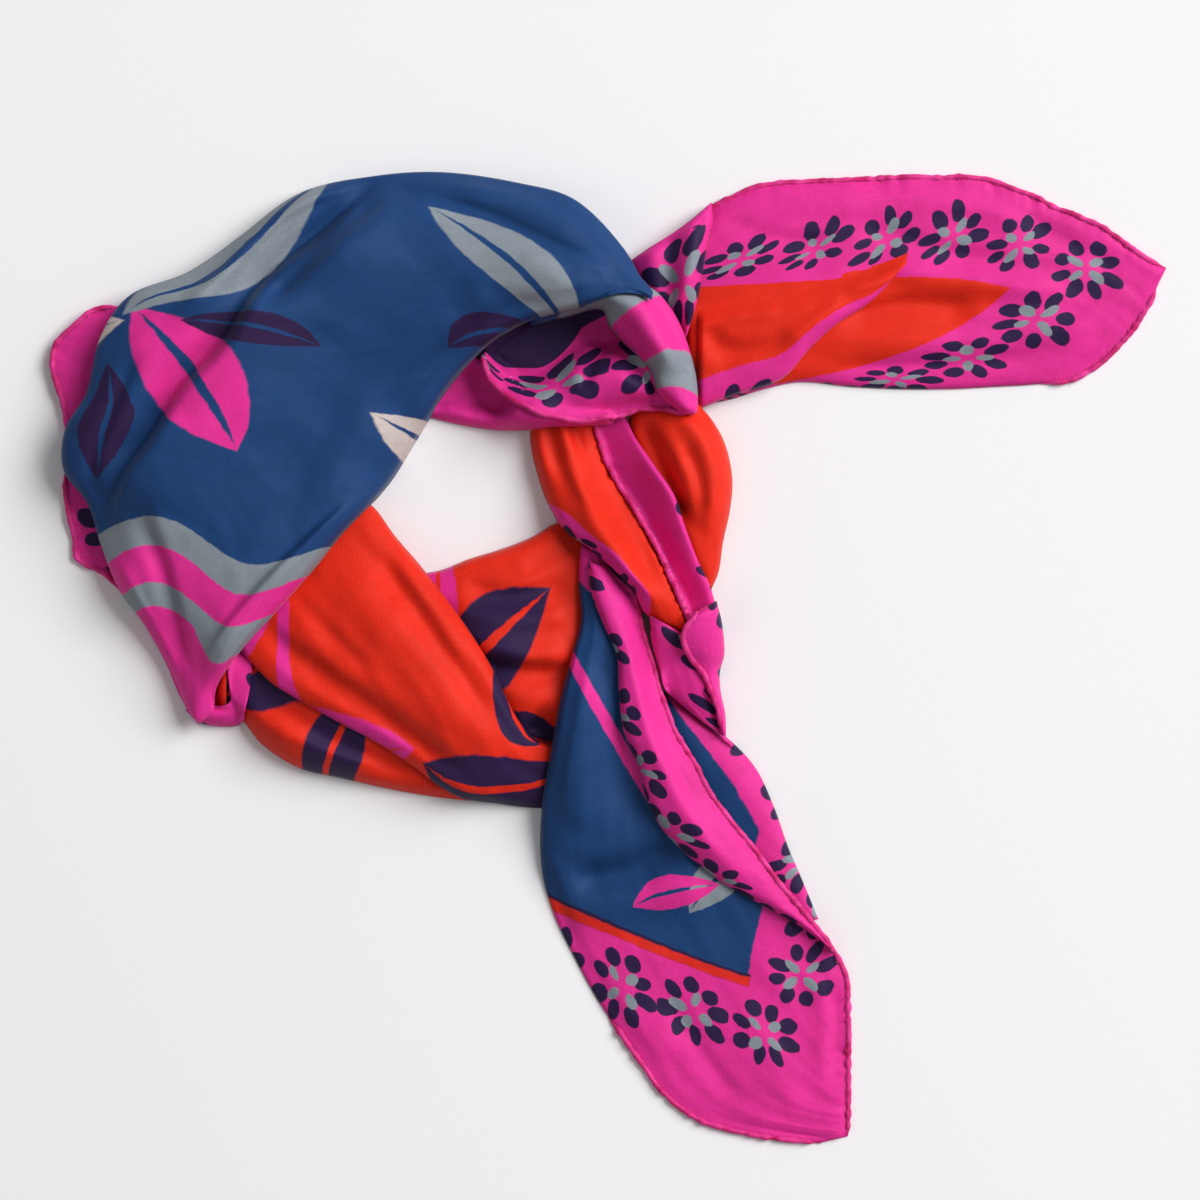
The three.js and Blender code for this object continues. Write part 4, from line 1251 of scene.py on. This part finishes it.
band_upper, cut = stretch("band_upper", [
    (-176, -29, -169, -24),
    (-184, -18, -168, -14),
    (-190, -4, -162, -4),
    (-200, 14, -154, 6),
    (-210, 28, -139, 22),
    (-218, 48, -125, 38),
    (-224, 66, -114, 52),
    (-234, 80, -102, 65),
    (-233, 97, -93, 76),
    (-224, 112, -85, 89),
    (-218, 136, -77, 102),
    (-206, 154, -71, 112),
    (-180, 165, -64, 121),
    (-159, 180, -55, 130),
    (-133, 199, -47, 136),
    (-103, 206, -36, 142),
    (-73, 208, -25, 145),
    (-38, 203, -12, 148),
    (-15, 196, -4, 151),
    (6, 175, 5, 153.5),
    (14, 161, 14, 153),
    (18.5, 155, 18, 151),
], cloth=[
    (0, 450, 438, 438, 462), (0.15, 464, 400, 400, 464), (0.35, 425, 325, 325, 425),
    (0.55, 364, 258, 258, 364), (0.75, 275, 205, 205, 275), (1, 172, 168, 168, 172)], folds=[
    (9.0, 24, 4.2, [
        (-86, 203), (-104, 192), (-120, 175), (-143, 157), (-161, 128), (-178, 111), (-190, 91), (-204, 72),
        (-211, 48)]),
    (-6.0, 2.5, 8, [
        (-94, 207), (-124, 182), (-148, 161), (-166, 134), (-183, 115), (-196, 95), (-209, 76), (-216, 52)]),
    (-8.0, 5, 9, [(-92, 200), (-112, 184), (-132, 164), (-150, 146)]),
    (5.0, 5, 4, [(-100, 207), (-118, 199), (-141, 188), (-166, 160), (-190, 138)]),
    (-2.6, 3, 3, [(-112, 200), (-138, 184), (-162, 158)]),
    (-2.6, 3, 4, [(-198, 134), (-208, 110), (-218, 86), (-220, 66)]),
    (4.0, 22, 12, [(-44, 152), (-84, 122), (-108, 86), (-130, 52)]),
    (-5.0, 7, 9, [(-20, 158), (-62, 136), (-88, 110), (-100, 88)]),
    (4.5, 14, 2.2, [(-104, 70), (-126, 50), (-148, 28), (-166, 6), (-174, -12)]),
    (-4.0, 3, 5, [(-200, 66), (-190, 40), (-184, 14), (-179, -10)]),
    (2.6, 4, 3, [(-212, 46), (-202, 22), (-192, 0), (-184, -14)]),
    (-2.6, 3, 8, [(-84, 198), (-52, 188), (-20, 173), (8, 160)]),
    (2.4, 5, 5, [(-70, 202), (-36, 192), (-8, 176)]),
    (4.0, 11, 12, [(-66, 146), (-44, 157), (-22, 162), (2, 160)]),
    (1.8, 3, 4, [(-40, 168), (-16, 168), (4, 163)]),
], wrinkle=0.3, ripple=(90, 14), crumple=0.35)
declare("band_upper")

# ---- The stitches of the rolled hem -------------------------------------------------------------------
# The hem is rolled and whipped by hand with a fine pink thread: short slanting stitches, a few millimetres
# apart, that pull the roll down on the cloth.

thread = bpy.data.materials.new("hem_thread")
thread.use_nodes = True
thread_tree = thread.node_tree
thread_shader = thread_tree.nodes["Principled BSDF"]
thread_shader.inputs["Roughness"].default_value = 0.5
thread_shader.inputs["Sheen Weight"].default_value = 0.1
twist = cloudy(thread_tree.nodes.new("ShaderNodeTexCoord").outputs["Object"], 900, 2).outputs[0]
feed(thread_shader.inputs["Base Color"], paint(twist, tint(176, 26, 100), tint(226, 84, 156)))

stitch_sizes = {"Pitch": 4.2 * mm, "Length": 1.0 * mm, "Thickness": 0.19 * mm, "Slant": 0.8}
stitch_tree = bpy.data.node_groups.new("Hem stitches", "GeometryNodeTree")
stitch_tree.interface.new_socket("Hem", in_out="INPUT", socket_type="NodeSocketGeometry")
stitch_inputs = {
    title: stitch_tree.interface.new_socket(title, in_out="INPUT", socket_type="NodeSocketFloat")
    for title in stitch_sizes}
for title, value in stitch_sizes.items():
    stitch_inputs[title].default_value = value
stitch_tree.interface.new_socket("Stitches", in_out="OUTPUT", socket_type="NodeSocketGeometry")


def place_node(kind, settings=(), **links):
    """Adds a geometry node and links or sets its inputs by name."""
    node = stitch_tree.nodes.new(kind)
    for key, value in settings:
        setattr(node, key, value)
    for title, value in links.items():
        named = [put for put in node.inputs if put.name == title.replace("_", " ") and put.enabled]
        feed(named[0], value)
    return node


stitch_given = stitch_tree.nodes.new("NodeGroupInput").outputs
hem_curve = place_node("GeometryNodeMeshToCurve", Mesh=stitch_given["Hem"])
spaced = place_node("GeometryNodeResampleCurve", [("mode", "LENGTH")],
                    Curve=hem_curve.outputs[0], Length=stitch_given["Pitch"])
bead = place_node("GeometryNodeMeshUVSphere", Segments=6, Rings=5, Radius=1.0)
bead_size = place_node("ShaderNodeCombineXYZ", X=stitch_given["Length"],
                       Y=stitch_given["Thickness"], Z=stitch_given["Thickness"])
stitch = place_node("GeometryNodeTransform", Geometry=bead.outputs[0], Scale=bead_size.outputs[0])
tangent = place_node("GeometryNodeInputTangent")
along = place_node("FunctionNodeAlignRotationToVector", [("axis", "X")], Vector=tangent.outputs[0])
uneven = place_node("FunctionNodeRandomValue", [("data_type", "FLOAT")], Min=-0.25, Max=0.25, Seed=4)
uneven_slant = stitch_tree.nodes.new("ShaderNodeMath")
uneven_slant.operation = "ADD"
feed(uneven_slant.inputs[0], stitch_given["Slant"])
feed(uneven_slant.inputs[1], [socket for socket in uneven.outputs if socket.enabled][0])
lean = place_node("ShaderNodeCombineXYZ", Z=uneven_slant.outputs[0])
turned = place_node("FunctionNodeRotateRotation", [("rotation_space", "LOCAL")],
                    Rotation=along.outputs[0], Rotate_By=lean.outputs[0])
placed = place_node("GeometryNodeInstanceOnPoints", Points=spaced.outputs[0], Instance=stitch.outputs[0],
                    Rotation=turned.outputs[0])
realized = place_node("GeometryNodeRealizeInstances", Geometry=placed.outputs[0])
shown = place_node("GeometryNodeSetMaterial", Geometry=realized.outputs[0], Material=thread)
feed(stitch_tree.nodes.new("NodeGroupOutput").inputs[0], shown.outputs[0])

line_mesh = bpy.data.meshes.new("hem_line")
line_points = []
line_edges = []
for hem_path in hem_paths:
    first = len(line_points)
    line_points += [tuple((point + (*datum, 0)) * mm) for point in hem_path]
    line_edges += [(k, k + 1) for k in range(first, len(line_points) - 1)]
line_mesh.from_pydata(line_points, line_edges, [])
hem_line = bpy.data.objects.new("hem_line", line_mesh)
scene.collection.objects.link(hem_line)
sewing = hem_line.modifiers.new("stitches", "NODES")
sewing.node_group = stitch_tree
for title, value in stitch_sizes.items():
    sewing[stitch_inputs[title].identifier] = value
sewn = hem_line.evaluated_get(bpy.context.evaluated_depsgraph_get())
stitch_mesh = bpy.data.meshes.new_from_object(sewn)
hem_line.modifiers.clear()
bpy.data.objects.remove(hem_line)
hem_stitches = bpy.data.objects.new("hem_stitches", stitch_mesh)
scene.collection.objects.link(hem_stitches)
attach(hem_stitches, "root")
